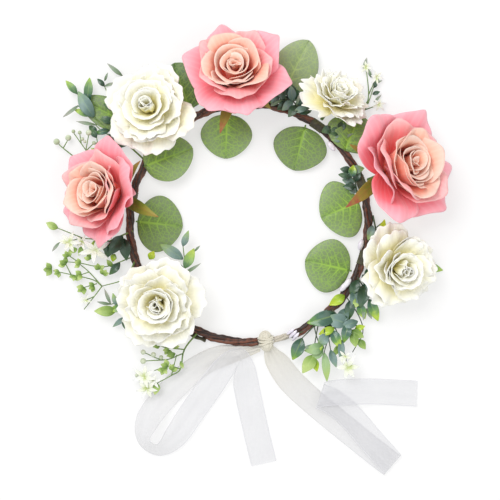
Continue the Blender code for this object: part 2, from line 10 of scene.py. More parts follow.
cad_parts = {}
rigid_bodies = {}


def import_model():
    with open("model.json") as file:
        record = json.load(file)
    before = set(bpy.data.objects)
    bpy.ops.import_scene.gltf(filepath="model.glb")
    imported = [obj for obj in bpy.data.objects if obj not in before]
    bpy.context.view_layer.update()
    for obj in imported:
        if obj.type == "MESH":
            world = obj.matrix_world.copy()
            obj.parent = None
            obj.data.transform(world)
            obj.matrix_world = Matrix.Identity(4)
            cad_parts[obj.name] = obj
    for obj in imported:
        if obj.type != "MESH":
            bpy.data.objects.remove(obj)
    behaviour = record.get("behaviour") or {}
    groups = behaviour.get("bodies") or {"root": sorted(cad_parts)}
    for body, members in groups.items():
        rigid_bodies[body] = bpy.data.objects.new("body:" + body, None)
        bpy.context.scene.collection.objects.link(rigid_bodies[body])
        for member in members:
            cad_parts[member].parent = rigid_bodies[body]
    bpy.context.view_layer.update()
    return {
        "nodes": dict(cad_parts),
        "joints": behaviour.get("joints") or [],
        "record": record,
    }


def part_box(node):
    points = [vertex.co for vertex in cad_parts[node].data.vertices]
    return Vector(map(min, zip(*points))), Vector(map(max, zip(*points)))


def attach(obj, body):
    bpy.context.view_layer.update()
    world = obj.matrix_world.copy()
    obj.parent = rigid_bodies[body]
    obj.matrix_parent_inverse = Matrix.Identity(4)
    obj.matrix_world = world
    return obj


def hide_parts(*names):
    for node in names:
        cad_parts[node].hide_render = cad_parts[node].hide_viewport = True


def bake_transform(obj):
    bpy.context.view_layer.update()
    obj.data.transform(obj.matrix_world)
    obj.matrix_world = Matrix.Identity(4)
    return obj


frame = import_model()

MM = 0.001
JOINTS = {joint["name"]: joint for joint in frame["joints"]}
FLEX = Vector(JOINTS["hoop_flex"]["pos_m"])
HOOP_RADIUS = FLEX.y
VINE_HEIGHT = FLEX.z
CRISP = 1                    # subdivision levels on petals and leaves
TABLE_GAP = 0.3 * MM         # lowest that a sheet lies, and how gently it turns up there
TABLE_EASE = 0.25 * MM
PHASE = 6.28                 # how far a random wave may be shifted, in radians
TINY = 1e-12                 # keeps a length of zero from being divided by
ROSE_CLOTH = 0.4 * MM        # thicknesses of the cloths
WHITE_CLOTH = 0.35 * MM
LEAF_CLOTH = 0.45 * MM
SPRIG_LEAF = 0.4 * MM


# ---------------------------------------------------------------- mesh tools

def polar(angle, radius, height=0.0):
    """The point at this angle in degrees and distance from the Z axis."""
    return Vector((radius * cos(radians(angle)), radius * sin(radians(angle)), height))


def node_points(name):
    """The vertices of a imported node, as an array."""
    mesh = frame["nodes"][name].data
    points = np.empty(len(mesh.vertices) * 3)
    mesh.vertices.foreach_get("co", points)
    return points.reshape(-1, 3)


def smooth(low, high, value):
    """0 below low, 1 above high and a smooth step between."""
    share = np.clip((value - low) / (high - low), 0.0, 1.0)
    return share * share * (3 - 2 * share)


def smooth_path(stations, samples):
    """Rows of numbers along a Catmull-Rom curve through the stations."""
    rows = [np.array(row, float) for row in stations]
    ends = [rows[0] * 2 - rows[1]] + rows + [rows[-1] * 2 - rows[-2]]
    path = []
    for before, start, end, after in zip(ends, ends[1:], ends[2:], ends[3:]):
        for step in range(samples):
            t = step / samples
            path.append(0.5 * (2 * start + (end - before) * t
                               + (2 * before - 5 * start + 4 * end - after) * t ** 2
                               + (3 * start - before - 3 * end + after) * t ** 3))
    return np.array(path + [rows[-1]])


def above_table(points):
    """The points with any that reach the table turned up along it, in their own order."""
    points = np.array(points, float)
    points[..., 2] = TABLE_GAP + TABLE_EASE * np.logaddexp(0, (points[..., 2] - TABLE_GAP) / TABLE_EASE)
    return points


def spans(rows, columns):
    """How far each point of a sheet lies along it, 0 to 1, and across it, -1 to 1."""
    along = np.linspace(0, 1, rows + 1)[:, None] * np.ones((1, columns + 1))
    across = np.linspace(-1, 1, columns + 1)[None, :] * np.ones((rows + 1, 1))
    return along, across


def sheet_marks(along, across, chance):
    """A sheet's marks, with a random number of its own."""
    return np.stack((along, across, np.full_like(along, chance.uniform(0, 1))), axis=-1)


class Sheets:
    """Collects grids and tubes for one mesh, with where each point lies on its own sheet."""

    def __init__(self):
        self.points = []
        self.faces = []
        self.marks = []

    def grid(self, points, marks, closed=False):
        """A grid of rows and columns; closed joins its last column to its first."""
        rows, columns = points.shape[:2]
        first = sum(len(block) for block in self.points)
        self.points.append(above_table(points).reshape(-1, 3))
        self.marks.append(np.broadcast_to(marks, points.shape).reshape(-1, 3))
        across = columns if closed else columns - 1
        for row in range(rows - 1):
            for column in range(across):
                following = (column + 1) % columns
                self.faces.append((first + row * columns + column,
                                   first + row * columns + following,
                                   first + (row + 1) * columns + following,
                                   first + (row + 1) * columns + column))
        return first

    def closed_grid(self, points, marks):
        """A grid joined round, with its first and last rows filled in."""
        rows, columns = points.shape[:2]
        first = self.grid(points, marks, closed=True)
        last = first + (rows - 1) * columns
        self.faces.append(tuple(first + column for column in range(columns))[::-1])
        self.faces.append(tuple(last + column for column in range(columns)))

    def tube(self, path, radii, sides=8, mark=0.5):
        """A capped round bar along a path, whose radius changes from point to point."""
        path = np.asarray(path, float)
        count = len(path)
        radii = np.broadcast_to(np.asarray(radii, float), (count,))
        along = np.gradient(path, axis=0)
        along /= np.linalg.norm(along, axis=1)[:, None] + TINY
        start = np.array((0.0, 0.0, 1.0)) if abs(along[0, 2]) < 0.9 else np.array((1.0, 0.0, 0.0))
        side = np.cross(along[0], start)
        turn = np.linspace(0, 2 * pi, sides, endpoint=False)
        rings = np.empty((count, sides, 3))
        for index in range(count):
            side = side - along[index] * np.dot(side, along[index])
            side /= np.linalg.norm(side) + TINY
            up = np.cross(along[index], side)
            rings[index] = path[index] + radii[index] * (np.outer(np.cos(turn), side)
                                                         + np.outer(np.sin(turn), up))
        marks = np.empty((count, sides, 3))
        marks[..., 0] = np.linspace(0, 1, count)[:, None]
        marks[..., 1] = np.linspace(-1, 1, sides)[None, :]
        marks[..., 2] = mark
        self.closed_grid(rings, marks)

    def ball(self, centre, radii, mark=0.5, sides=10, turn=None):
        """A closed rounded body; radii along its own X, Y and Z."""
        rings = sides // 2 + 1
        around = np.linspace(0, 2 * pi, sides, endpoint=False)
        pole = 0.12          # the small flat at each end, in radians
        down = np.linspace(pole, pi - pole, rings)
        shape = np.empty((rings, sides, 3))
        shape[..., 0] = np.sin(down)[:, None] * np.cos(around)[None, :] * radii[0]
        shape[..., 1] = np.sin(down)[:, None] * np.sin(around)[None, :] * radii[1]
        shape[..., 2] = -np.cos(down)[:, None] * radii[2]
        if turn is not None:
            shape = shape @ np.array(turn.to_matrix()).T
        marks = np.empty((rings, sides, 3))
        marks[..., 0] = np.linspace(0, 1, rings)[:, None]
        marks[..., 1] = 0.0
        marks[..., 2] = mark
        self.closed_grid(shape + np.asarray(centre), marks)

    def build(self, name, finish, body, thickness=0.0, levels=CRISP, stands_for=(), slot=None):
        """One mesh of all the sheets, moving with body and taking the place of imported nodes."""
        mesh = bpy.data.meshes.new(name)
        mesh.from_pydata(np.concatenate(self.points).tolist(), [], self.faces)
        marks = mesh.attributes.new("sheet", "FLOAT_VECTOR", "POINT")
        marks.data.foreach_set("vector", np.concatenate(self.marks).ravel())
        mesh.shade_smooth()
        mesh.materials.append(finish)
        piece = bpy.data.objects.new(name, mesh)
        bpy.context.collection.objects.link(piece)
        if levels:
            subdivision = piece.modifiers.new("smooth", "SUBSURF")
            subdivision.levels = levels
            subdivision.render_levels = levels
        if thickness:
            solidify = piece.modifiers.new("thickness", "SOLIDIFY")
            solidify.thickness = thickness
            solidify.offset = 0.0
        if body:
            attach(piece, body)
        if stands_for:
            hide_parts(*stands_for)
        return piece


# ---------------------------------------------------------------- materials

class Nodes:
    """A short way to write a node material."""

    def __init__(self, name, roughness, sheen=0.0, coat=0.0):
        self.material = bpy.data.materials.new(name)
        self.material.use_nodes = True
        self.tree = self.material.node_tree
        self.shader = self.tree.nodes["Principled BSDF"]
        self.shader.inputs["Roughness"].default_value = roughness
        self.shader.inputs["Sheen Weight"].default_value = sheen
        self.shader.inputs["Coat Weight"].default_value = coat

    def add(self, kind, **values):
        node = self.tree.nodes.new("ShaderNode" + kind)
        for key, value in values.items():
            if hasattr(node, key):
                setattr(node, key, value)
            else:
                self.set(node, key.replace("_", " "), value)
        return node

    def set(self, node, socket, value):
        target = node.inputs[socket]
        if isinstance(value, bpy.types.NodeSocket):
            self.tree.links.new(value, target)
        else:
            target.default_value = value

    def mark(self):
        """Where a point lies: along its sheet (0 to 1), across it (-1 to 1), and its piece's number."""
        attribute = self.add("Attribute", attribute_name="sheet")
        return self.add("SeparateXYZ", Vector=attribute.outputs["Vector"]).outputs

    def place(self):
        return self.add("TexCoord").outputs["Object"]

    def math(self, operation, first, second=0.0, third=None):
        node = self.add("Math", operation=operation)
        self.set(node, 0, first)
        self.set(node, 1, second)
        if third is not None:
            self.set(node, 2, third)
        return node.outputs[0]

    def times(self, first, second):
        return self.math("MULTIPLY", first, second)

    def plus(self, first, second):
        return self.math("ADD", first, second)

    def minus(self, first, second):
        return self.math("SUBTRACT", first, second)

    def larger(self, first, second):
        return self.math("MAXIMUM", first, second)

    def spread(self, value, reach, lowest):
        """The value times reach, from lowest up."""
        return self.math("MULTIPLY_ADD", value, reach, lowest)

    def ripple(self, value):
        """A sine wave's height above or below its middle."""
        return self.math("ABSOLUTE", self.math("SINE", value))

    def noise(self, scale, detail=3.0):
        node = self.add("TexNoise")
        self.set(node, "Vector", self.place())
        self.set(node, "Scale", scale)
        self.set(node, "Detail", detail)
        return node.outputs["Fac"]

    def ramp(self, value, *stops):
        """Colours at places from 0 to 1."""
        node = self.add("ValToRGB")
        self.set(node, "Fac", value)
        ramp = node.color_ramp
        while len(ramp.elements) < len(stops):
            ramp.elements.new(0.5)
        for element, (place, colour) in zip(ramp.elements, stops):
            element.position = place
            element.color = (*colour, 1.0)
        return node.outputs["Color"]

    def mix(self, share, first, second):
        node = self.add("Mix", data_type="RGBA")
        self.set(node, "Factor", share)
        for socket, value in (("A", first), ("B", second)):
            target = [s for s in node.inputs if s.name == socket and s.type == "RGBA"][0]
            if isinstance(value, bpy.types.NodeSocket):
                self.tree.links.new(value, target)
            else:
                target.default_value = (*value, 1.0)
        return [s for s in node.outputs if s.type == "RGBA"][0]

    def weave(self, scale):
        """A fine cloth grain, 0 to 1."""
        parts = []
        for axis in ("X", "Y"):
            wave = self.add("TexWave", bands_direction=axis)
            self.set(wave, "Vector", self.place())
            self.set(wave, "Scale", scale)
            self.set(wave, "Distortion", 0.6)
            parts.append(wave.outputs["Fac"])
        return self.times(*parts)

    def finish(self, colour, height=None, depth=0.0, roughness=None):
        self.set(self.shader, "Base Color", colour)
        if roughness is not None:
            self.set(self.shader, "Roughness", roughness)
        if height is not None:
            bump = self.add("Bump")
            self.set(bump, "Height", height)
            self.set(bump, "Distance", depth)
            self.set(bump, "Strength", 1.0)
            self.set(self.shader, "Normal", bump.outputs["Normal"])
        return self.material


def petal_material(name, stops, vein_tint, vein_count=16.0):
    """Dyed polyester: colour runs from a petal's foot to its edge, with faint pressed veins; the roses'
    deeper coral at the foot is partly the dye and partly painted shade.
    """
    nodes = Nodes(name, 0.78, sheen=0.25)
    along, across, number = nodes.mark()
    drift = nodes.spread(nodes.noise(60.0), 0.24, -0.12)
    own = nodes.spread(number, 0.10, -0.05)
    reach = nodes.plus(nodes.plus(along, drift), own)
    # colour from foot to edge: on the roses the deeper coral at the foot is partly the dye and partly painted
    # shade deep in the flower
    colour = nodes.ramp(reach, *stops)
    fan = nodes.plus(nodes.times(across, vein_count),
                     nodes.times(nodes.noise(90.0), 2.0))
    vein = nodes.math("POWER", nodes.ripple(fan), 6.0)
    colour = nodes.mix(nodes.times(vein, 0.16), colour, vein_tint)
    grain = nodes.plus(nodes.times(nodes.weave(420.0), 0.25),
                       nodes.times(vein, -0.6))
    rough = nodes.spread(nodes.noise(300.0), 0.2, 0.68)
    return nodes.finish(colour, grain, 0.12 * MM, rough)


def leaf_material(name, middle, blade, edge, vein, wax, side_veins=5.0):
    """Printed leaf cloth: a bright midrib and side veins on a mottled blade."""
    nodes = Nodes(name, 0.5, sheen=0.1, coat=wax)
    along, across, number = nodes.mark()
    side = nodes.math("ABSOLUTE", across)
    mottle = nodes.noise(95.0, 5.0)
    spread = nodes.plus(nodes.times(side, 0.75), nodes.times(along, 0.35))
    spread = nodes.plus(spread, nodes.spread(mottle, 0.5, -0.25))
    colour = nodes.ramp(spread, (0.0, middle), (0.45, blade), (1.0, edge))
    sweep = nodes.times(nodes.math("POWER", side, 1.3), 0.42)
    slope = nodes.minus(along, sweep)
    slope = nodes.plus(slope, nodes.spread(nodes.noise(70.0), 0.05, -0.025))
    wave = nodes.ripple(nodes.times(slope, side_veins * pi))
    broad = nodes.spread(side, 4.0, 1.9)
    thin = nodes.minus(1.0, nodes.times(wave, broad))
    rib = nodes.minus(1.0, nodes.times(side, nodes.spread(along, 22.0, 8.0)))
    line = nodes.larger(nodes.larger(thin, rib), 0.0)
    net = nodes.add("TexVoronoi", feature="DISTANCE_TO_EDGE")
    nodes.set(net, "Vector", nodes.place())
    nodes.set(net, "Scale", 330.0)
    mesh_line = nodes.minus(1.0, nodes.times(net.outputs["Distance"], 9.0))
    mesh_line = nodes.times(nodes.larger(mesh_line, 0.0), 0.42)
    fade = nodes.times(nodes.minus(1.1, side), nodes.minus(1.15, along))
    line = nodes.larger(nodes.times(line, fade), mesh_line)
    colour = nodes.mix(nodes.math("MINIMUM", nodes.times(line, 1.5), 1.0), colour, vein)
    tint = nodes.spread(number, 0.35, 0.82)
    shade = nodes.add("HueSaturation")
    nodes.set(shade, "Color", colour)
    nodes.set(shade, "Value", tint)
    grain = nodes.plus(nodes.times(line, 0.5), nodes.times(mottle, 0.3))
    rough = nodes.spread(mottle, 0.3, 0.34)
    return nodes.finish(shade.outputs["Color"], grain, 0.25 * MM, rough)


def plain_material(name, low, high, roughness, depth, scale=400.0, coat=0.0, streaks=False):
    """A mottled colour with grain; streaks follow the piece's length."""
    nodes = Nodes(name, roughness, coat=coat)
    along, across, number = nodes.mark()
    speck = nodes.noise(scale, 6.0)
    if streaks:
        lines = nodes.math("SINE", nodes.times(across, 9.0))
        speck = nodes.spread(lines, 0.18, speck)
    share = nodes.plus(speck, nodes.spread(number, 0.4, -0.2))
    colour = nodes.ramp(share, (0.30, low), (0.72, high))
    rough = nodes.spread(speck, 0.3, roughness - 0.15)
    return nodes.finish(colour, speck, depth, rough)


def gradient_material(name, stops, roughness, coat=0.0):
    """Moulded plastic foliage whose colour runs along each leaf, bud or petal."""
    nodes = Nodes(name, roughness, coat=coat)
    along, across, number = nodes.mark()
    mottle = nodes.noise(240.0, 4.0)
    share = nodes.plus(along, nodes.spread(mottle, 0.5, -0.25))
    share = nodes.plus(share, nodes.spread(number, 0.5, -0.25))
    colour = nodes.ramp(share, *stops)
    rib = nodes.larger(nodes.minus(1.0, nodes.times(
        nodes.math("ABSOLUTE", across), 7.0)), 0.0)
    colour = nodes.mix(nodes.times(rib, 0.25), colour, stops[-1][1])
    height = nodes.plus(nodes.times(rib, 0.6), nodes.times(mottle, 0.4))
    rough = nodes.spread(mottle, 0.25, roughness - 0.12)
    return nodes.finish(colour, height, 0.15 * MM, rough)


def organza_material(name, colour, cover, gathered=(0.62, 0.59, 0.49)):
    """Sheer woven ribbon: fine threads that let the surface behind show, and a dense selvedge."""
    nodes = Nodes(name, 0.42, sheen=0.4)
    along, across, number = nodes.mark()
    threads = []
    lengthways = 5200.0      # radians of the threads' wave in a metre
    crossways = 110.0        # and in half the ribbon's width
    for value, count in ((along, lengthways), (across, crossways)):
        threads.append(nodes.ripple(nodes.times(value, count)))
    weave = nodes.times(nodes.plus(*threads), 0.5)
    edge = nodes.math("ABSOLUTE", across)
    selvedge = nodes.times(nodes.larger(nodes.minus(edge, 0.90), 0.0), 5.0)
    cloud = nodes.noise(45.0, 2.0)
    opaque = nodes.plus(nodes.spread(weave, 0.12, cover - 0.12),
                        nodes.spread(cloud, 0.20, -0.10))
    opaque = nodes.plus(opaque, selvedge)
    opaque = nodes.spread(number, 0.32, opaque)
    tinted = nodes.mix(number, colour, gathered)
    nodes.set(nodes.shader, "Alpha", nodes.math("MINIMUM", opaque, 1.0))
    return nodes.finish(tinted, weave, 0.05 * MM)


def make_finishes():
    # the deep coral at the roses' petal feet: partly the dye, partly painted shade deep in the flower
    coral = (0.80, 0.060, 0.062)
    return {
        "rose_outer": petal_material("rose_outer", (
            (0.05, coral), (0.34, (0.90, 0.135, 0.155)), (0.70, (0.91, 0.235, 0.285)),
            (1.0, (0.92, 0.42, 0.48))), (0.95, 0.56, 0.60)),
        "rose_middle": petal_material("rose_middle", (
            (0.10, coral), (0.46, (0.91, 0.155, 0.150)), (0.80, (0.92, 0.31, 0.33)),
            (1.0, (0.92, 0.48, 0.48))), (0.95, 0.62, 0.60)),
        "rose_inner": petal_material("rose_inner", (
            (0.20, (0.88, 0.10, 0.045)), (0.58, (0.92, 0.27, 0.17)), (0.84, (0.92, 0.47, 0.35)),
            (1.0, (0.89, 0.60, 0.51))), (0.94, 0.70, 0.58)),
        "rose_bud": petal_material("rose_bud", (
            (0.35, (0.88, 0.13, 0.05)), (0.68, (0.92, 0.34, 0.20)), (0.86, (0.90, 0.53, 0.40)),
            (1.0, (0.86, 0.64, 0.55))), (0.92, 0.74, 0.62)),
        "white_petals": petal_material("white_petals", (
            (0.10, (0.80, 0.70, 0.16)), (0.50, (0.90, 0.85, 0.50)), (0.76, (0.91, 0.89, 0.72)),
            (1.0, (0.90, 0.90, 0.86))), (0.93, 0.91, 0.74), vein_count=24.0),
        "leaf": leaf_material("leaf", (0.12, 0.24, 0.02), (0.15, 0.235, 0.075),
                              (0.20, 0.28, 0.13), (0.27, 0.47, 0.05), 0.05),
        "leaf_sage": leaf_material("leaf_sage", (0.20, 0.29, 0.10), (0.23, 0.31, 0.15),
                                   (0.28, 0.35, 0.20), (0.34, 0.47, 0.14), 0.0),
        "leaf_dark": leaf_material("leaf_dark", (0.07, 0.15, 0.01), (0.055, 0.115, 0.025),
                                   (0.09, 0.15, 0.055), (0.18, 0.29, 0.04), 0.05),
        "sepal": gradient_material("sepal", (
            (0.0, (0.06, 0.13, 0.015)), (0.40, (0.17, 0.23, 0.02)), (0.75, (0.30, 0.24, 0.04)),
            (1.0, (0.32, 0.09, 0.04))), 0.6),
        "stem": plain_material("stem", (0.08, 0.15, 0.03), (0.22, 0.34, 0.10), 0.55, 0.1 * MM),
        "dark_stem": plain_material("dark_stem", (0.02, 0.04, 0.02), (0.09, 0.13, 0.06), 0.55, 0.1 * MM),
        "tape": plain_material("tape", (0.04, 0.035, 0.02), (0.10, 0.10, 0.05), 0.7, 0.2 * MM,
                               scale=250.0, streaks=True),
        "vine": plain_material("vine", (0.022, 0.008, 0.005), (0.17, 0.055, 0.028), 0.62, 0.5 * MM,
                               scale=330.0, coat=0.15, streaks=True),
        "lance": gradient_material("lance", (
            (0.0, (0.05, 0.13, 0.05)), (0.4, (0.11, 0.22, 0.10)), (0.75, (0.26, 0.42, 0.09)),
            (1.0, (0.42, 0.55, 0.10))), 0.5, coat=0.1),
        "blue": gradient_material("blue", (
            (0.0, (0.07, 0.14, 0.11)), (0.5, (0.17, 0.26, 0.24)), (0.8, (0.22, 0.33, 0.22)),
            (1.0, (0.28, 0.42, 0.14))), 0.5, coat=0.1),
        "box": gradient_material("box", (
            (0.0, (0.02, 0.07, 0.035)), (0.45, (0.05, 0.13, 0.09)), (0.78, (0.13, 0.28, 0.06)),
            (1.0, (0.42, 0.58, 0.05))), 0.38, coat=0.4),
        "dark": gradient_material("dark", (
            (0.0, (0.012, 0.04, 0.02)), (0.6, (0.035, 0.09, 0.05)), (1.0, (0.07, 0.15, 0.05))),
            0.42, coat=0.3),
        "fresh": gradient_material("fresh", (
            (0.0, (0.10, 0.20, 0.03)), (0.5, (0.24, 0.37, 0.08)), (1.0, (0.46, 0.58, 0.20))), 0.5),
        "lime": gradient_material("lime", (
            (0.0, (0.14, 0.26, 0.01)), (0.5, (0.34, 0.50, 0.02)), (1.0, (0.52, 0.62, 0.04))), 0.4,
            coat=0.2),
        "sage": gradient_material("sage", (
            (0.0, (0.10, 0.20, 0.07)), (0.5, (0.30, 0.44, 0.22)), (1.0, (0.36, 0.50, 0.16))), 0.55),
        "slim": gradient_material("slim", (
            (0.0, (0.09, 0.15, 0.07)), (0.6, (0.22, 0.30, 0.20)), (1.0, (0.34, 0.36, 0.30))), 0.6),
        "star": gradient_material("star", (
            (0.0, (0.50, 0.58, 0.24)), (0.28, (0.74, 0.77, 0.62)), (1.0, (0.80, 0.81, 0.80))), 0.6),
        "berry": plain_material("berry", (0.40, 0.47, 0.30), (0.62, 0.67, 0.52), 0.5, 0.08 * MM),
        "pearl": plain_material("pearl", (0.68, 0.64, 0.74), (0.86, 0.83, 0.90), 0.3, 0.05 * MM,
                                scale=160.0, coat=0.5),
        "organza": organza_material("organza", (0.60, 0.60, 0.63), 0.44),
        "gathered": organza_material("gathered", (0.66, 0.62, 0.50), 0.90),
        "grey_gathered": organza_material("grey_gathered", (0.42, 0.37, 0.30), 0.92),
    }


FINISH = make_finishes()


# ---------------------------------------------------------------- flower heads

class Head:
    """A flower head's own frame, read from its packed petals: Z is its axis, and its origin is
    the middle of the outer petals' hole."""

    def __init__(self, name, heart):
        outer = node_points(name + "_outer_petals")
        inner = node_points(name + heart)
        low, high = outer.mean(axis=0), inner.mean(axis=0)
        axis = (high - low) / np.linalg.norm(high - low)
        reach = (outer - low) @ axis
        self.origin = low + axis * reach.min()
        spread = outer - low - np.outer(reach, axis)
        self.radius = np.linalg.norm(spread, axis=1).max()
        out = np.array((self.origin[0], self.origin[1], 0.0))
        out -= axis * (out @ axis)
        out /= np.linalg.norm(out)
        self.matrix = np.column_stack((out, np.cross(axis, out), axis))

    def place(self, points):
        """From the head's own frame to the crown's."""
        return points @ self.matrix.T + self.origin


def petal(shape, azimuth, chance, rows=12, columns=12):
    """One petal about the Z axis, as a grid of points and marks.

    It grows from foot (radius, height) for length, leaning from the axis by lean[0] degrees at
    its foot to lean[1] at its tip, with its last third curled out by curl more.  wrap is the
    radius it wraps about the axis, as a share of its distance from it.
    """
    along, across = spans(rows, columns)
    length = shape["length"] * chance.uniform(0.94, 1.06)
    width = shape["width"] * chance.uniform(0.92, 1.06)
    curl = shape["curl"] * chance.uniform(0.6, 1.35)

    skew = chance.uniform(-0.25, 0.25)
    steps = np.linspace(0, 1.15, 70)
    foot_lean, tip_lean = shape["lean"]
    angle = np.radians(foot_lean + (tip_lean - foot_lean) * np.minimum(steps, 1) ** 0.8
                       + curl * smooth(0.66, 1.05, steps))
    step = length * (steps[1] - steps[0])
    radius_along = shape["foot"][0] + np.concatenate(([0], np.cumsum(np.sin(angle[:-1])) * step))
    height_along = shape["foot"][1] + np.concatenate(([0], np.cumsum(np.cos(angle[:-1])) * step))

    tip = shape.get("tip", 0.05)
    rounding = shape.get("rounding", 0.28)
    reach = along * (1 - rounding * np.abs(across) ** 2.4 * along
                     + tip * np.clip(1 - np.abs(across - skew) * 2.4, 0, 1) ** 1.5 * along ** 3)
    fringe = shape.get("fringe", 0.0)
    if fringe:
        phase = chance.uniform(0, PHASE)
        teeth = np.sin(across * 11 + phase) + 0.6 * np.sin(across * 23 + 2 * phase)
        reach = reach + fringe * along ** 4 * teeth
    radius = np.interp(reach, steps, radius_along)
    height = np.interp(reach, steps, height_along)
    slope = np.interp(reach, steps, angle)

    base = shape.get("base", 0.32)
    half = width / 2 * (base + (1 - base) * np.sin(pi / 2 * np.minimum(along * 1.25, 1)) ** 0.9)
    wrap = np.maximum(radius, shape.get("tight", 4 * MM)) * shape["wrap"]
    turn = across * half / wrap
    sideways = wrap * np.sin(turn)
    inward = wrap * (1 - np.cos(turn))

    # push along the petal's own outward normal: rolled sides, ruffles and a random warp
    roll = shape.get("roll", 0.0) * np.clip(np.abs(across) - 0.45, 0, 1) ** 2 * along ** 1.5
    ruffle = shape.get("ruffle", 0.0) * along ** 2 * (
        np.sin(across * shape.get("waves", 5) + chance.uniform(0, PHASE))
        + 0.5 * np.sin(across * shape.get("waves", 5) * 2.1 + along * 4 + chance.uniform(0, PHASE)))
    warp = shape.get("warp", 0.6 * MM) * along * np.sin(across * 2 + chance.uniform(0, PHASE))
    crease = -shape.get("crease", 0.0) * np.exp(-((across - skew) / 0.22) ** 2) * smooth(0.2, 0.9, along)
    pleat = shape.get("pleat", 0.0) * smooth(0.1, 0.6, along) * (
        np.sin(across * 9 + chance.uniform(0, PHASE)) + 0.6 * np.sin(across * 17 + chance.uniform(0, PHASE)))
    push = roll + ruffle + warp + crease + pleat
    spiral = shape.get("spiral", 0.0) * across
    out = radius - inward + push * np.cos(slope) + spiral
    up = height - push * np.sin(slope)

    spin = radians(azimuth)
    x = out * np.cos(spin) - sideways * np.sin(spin)
    y = out * np.sin(spin) + sideways * np.cos(spin)
    points = np.stack((x, y, up), axis=-1)
    marks = sheet_marks(along, across, chance)
    return points, marks


def whorl(sheets, head, size, shape, count, start, chance, jitter=6.0, columns=12):
    """Petals spaced evenly round the head, in its frame."""
    scaled = dict(shape)
    for key in ("length", "width", "roll", "ruffle", "warp", "crease", "pleat", "spiral", "tight"):
        if key in scaled:
            scaled[key] = scaled[key] * size
    scaled["foot"] = (shape["foot"][0] * size, shape["foot"][1] * size)
    for index in range(count):
        azimuth = start + 360 / count * index + chance.uniform(-jitter, jitter)
        varied = dict(scaled)
        lift = chance.uniform(-1, 1) * shape.get("spread", 4.0)
        lift -= shape.get("inner_lift", 0.0) * max(0.0, -cos(radians(azimuth)))
        varied["lean"] = (scaled["lean"][0] + lift * 0.4, scaled["lean"][1] + lift)
        points, marks = petal(varied, azimuth, chance, columns=columns)
        sheets.grid(head.place(points), marks)


def colour_stem(name):
    """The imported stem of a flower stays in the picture, in the stem's green."""
    materials = frame["nodes"][name + "_stem"].data.materials
    materials.clear()
    materials.append(FINISH["stem"])


ROSE_RADIUS = 38 * MM        # the size that the petals' shapes below are for
OUTER_PETAL = dict(foot=(2.5 * MM, 1.0 * MM), length=40 * MM, width=42 * MM, lean=(74, 55), curl=46,
                   wrap=1.5, roll=11 * MM, ruffle=1.7 * MM, tip=0.12, rounding=0.24, crease=1.9 * MM,
                   pleat=0.34 * MM, warp=3.4 * MM, spread=11)
MIDDLE_PETAL = dict(foot=(2.2 * MM, 2.6 * MM), length=36 * MM, width=39 * MM, lean=(62, 26), curl=58,
                    wrap=1.25, roll=10 * MM, ruffle=1.5 * MM, tip=0.11, rounding=0.22,
                    crease=1.5 * MM, pleat=0.32 * MM, warp=2.8 * MM, spread=9)
INNER_PETAL = dict(foot=(2.0 * MM, 4.0 * MM), length=36 * MM, width=38 * MM, lean=(54, 8), curl=56,
                   wrap=1.1, roll=6 * MM, ruffle=1.3 * MM, tip=0.07, rounding=0.16, crease=1.3 * MM,
                   pleat=0.24 * MM, warp=2.4 * MM, spread=8)
BUD_WRAPS = (                # radius of the foot, length, width, lean, petals, turn
    (9.2, 26.0, 40.0, (20, 2), 3, 20),
    (6.2, 26.0, 33.0, (14, 0), 3, 75),
    (3.6, 25.5, 25.0, (9, -2), 2, 140),
    (1.3, 24.0, 12.0, (4, -3), 2, 40),
)


def build_rose(name, seed, turn, inner_lift):
    chance = np.random.default_rng(seed)
    head = Head(name, "_bud")
    size = head.radius / ROSE_RADIUS

    outer = Sheets()
    whorl(outer, head, size, dict(OUTER_PETAL, inner_lift=inner_lift), 6, turn, chance, jitter=9)
    outer.build(name + "_outer_petals_cloth", FINISH["rose_outer"], name, ROSE_CLOTH,
                stands_for=[name + "_outer_petals"], slot="rose_petals")

    middle = Sheets()
    whorl(middle, head, size, dict(MIDDLE_PETAL, inner_lift=inner_lift * 0.5), 5, turn + 30, chance)
    middle.build(name + "_middle_petals_cloth", FINISH["rose_middle"], name, ROSE_CLOTH,
                 stands_for=[name + "_middle_petals"], slot="rose_petals")

    inner = Sheets()
    whorl(inner, head, size, INNER_PETAL, 5, turn + 10, chance)
    inner.build(name + "_inner_petals_cloth", FINISH["rose_inner"], name, ROSE_CLOTH, slot="rose_heart")

    bud = Sheets()
    for foot, length, width, lean, count, start in BUD_WRAPS:
        shape = dict(foot=(foot * MM, 6.0 * MM), length=length * MM, width=width * MM, lean=lean,
                     curl=62, wrap=1.0, tight=1.5 * MM, base=0.8, rounding=0.12, tip=0.03,
                     ruffle=0.8 * MM, warp=1.5 * MM, pleat=0.12 * MM, spiral=1.8 * MM, spread=4.0)
        whorl(bud, head, size, shape, count, turn + start, chance, jitter=20)
    bud.build(name + "_bud_cloth", FINISH["rose_bud"], name, ROSE_CLOTH,
              stands_for=[name + "_bud"], slot="rose_heart")

    sepals = Sheets()
    for index in range(5):
        azimuth = turn + 72 * index + chance.uniform(-8, 8)
        inside = max(0.0, -cos(radians(azimuth)))
        shape = dict(foot=(3.0 * MM * size, -1.4 * MM * size), length=(29 + 17 * inside ** 4) * MM * size,
                     width=(9 + 4 * inside) * MM * size,
                     lean=(84, 92), curl=chance.uniform(5, 45), wrap=3.0, rounding=0.0, tip=0.0,
                     warp=1.2 * MM, crease=1.0 * MM)
        points, marks = petal(shape, azimuth, chance, rows=14, columns=6)
        narrow = np.clip(1.02 - marks[..., 0] ** 2.2, 0.04, 1)[..., None]
        middle_line = points[:, 3:4, :]
        points = middle_line + (points - middle_line) * narrow
        sepals.grid(head.place(points), marks)
    sepals.build(name + "_sepals_cloth", FINISH["sepal"], name, ROSE_CLOTH,
                 stands_for=[name + "_sepals"], slot="stem")
    colour_stem(name)


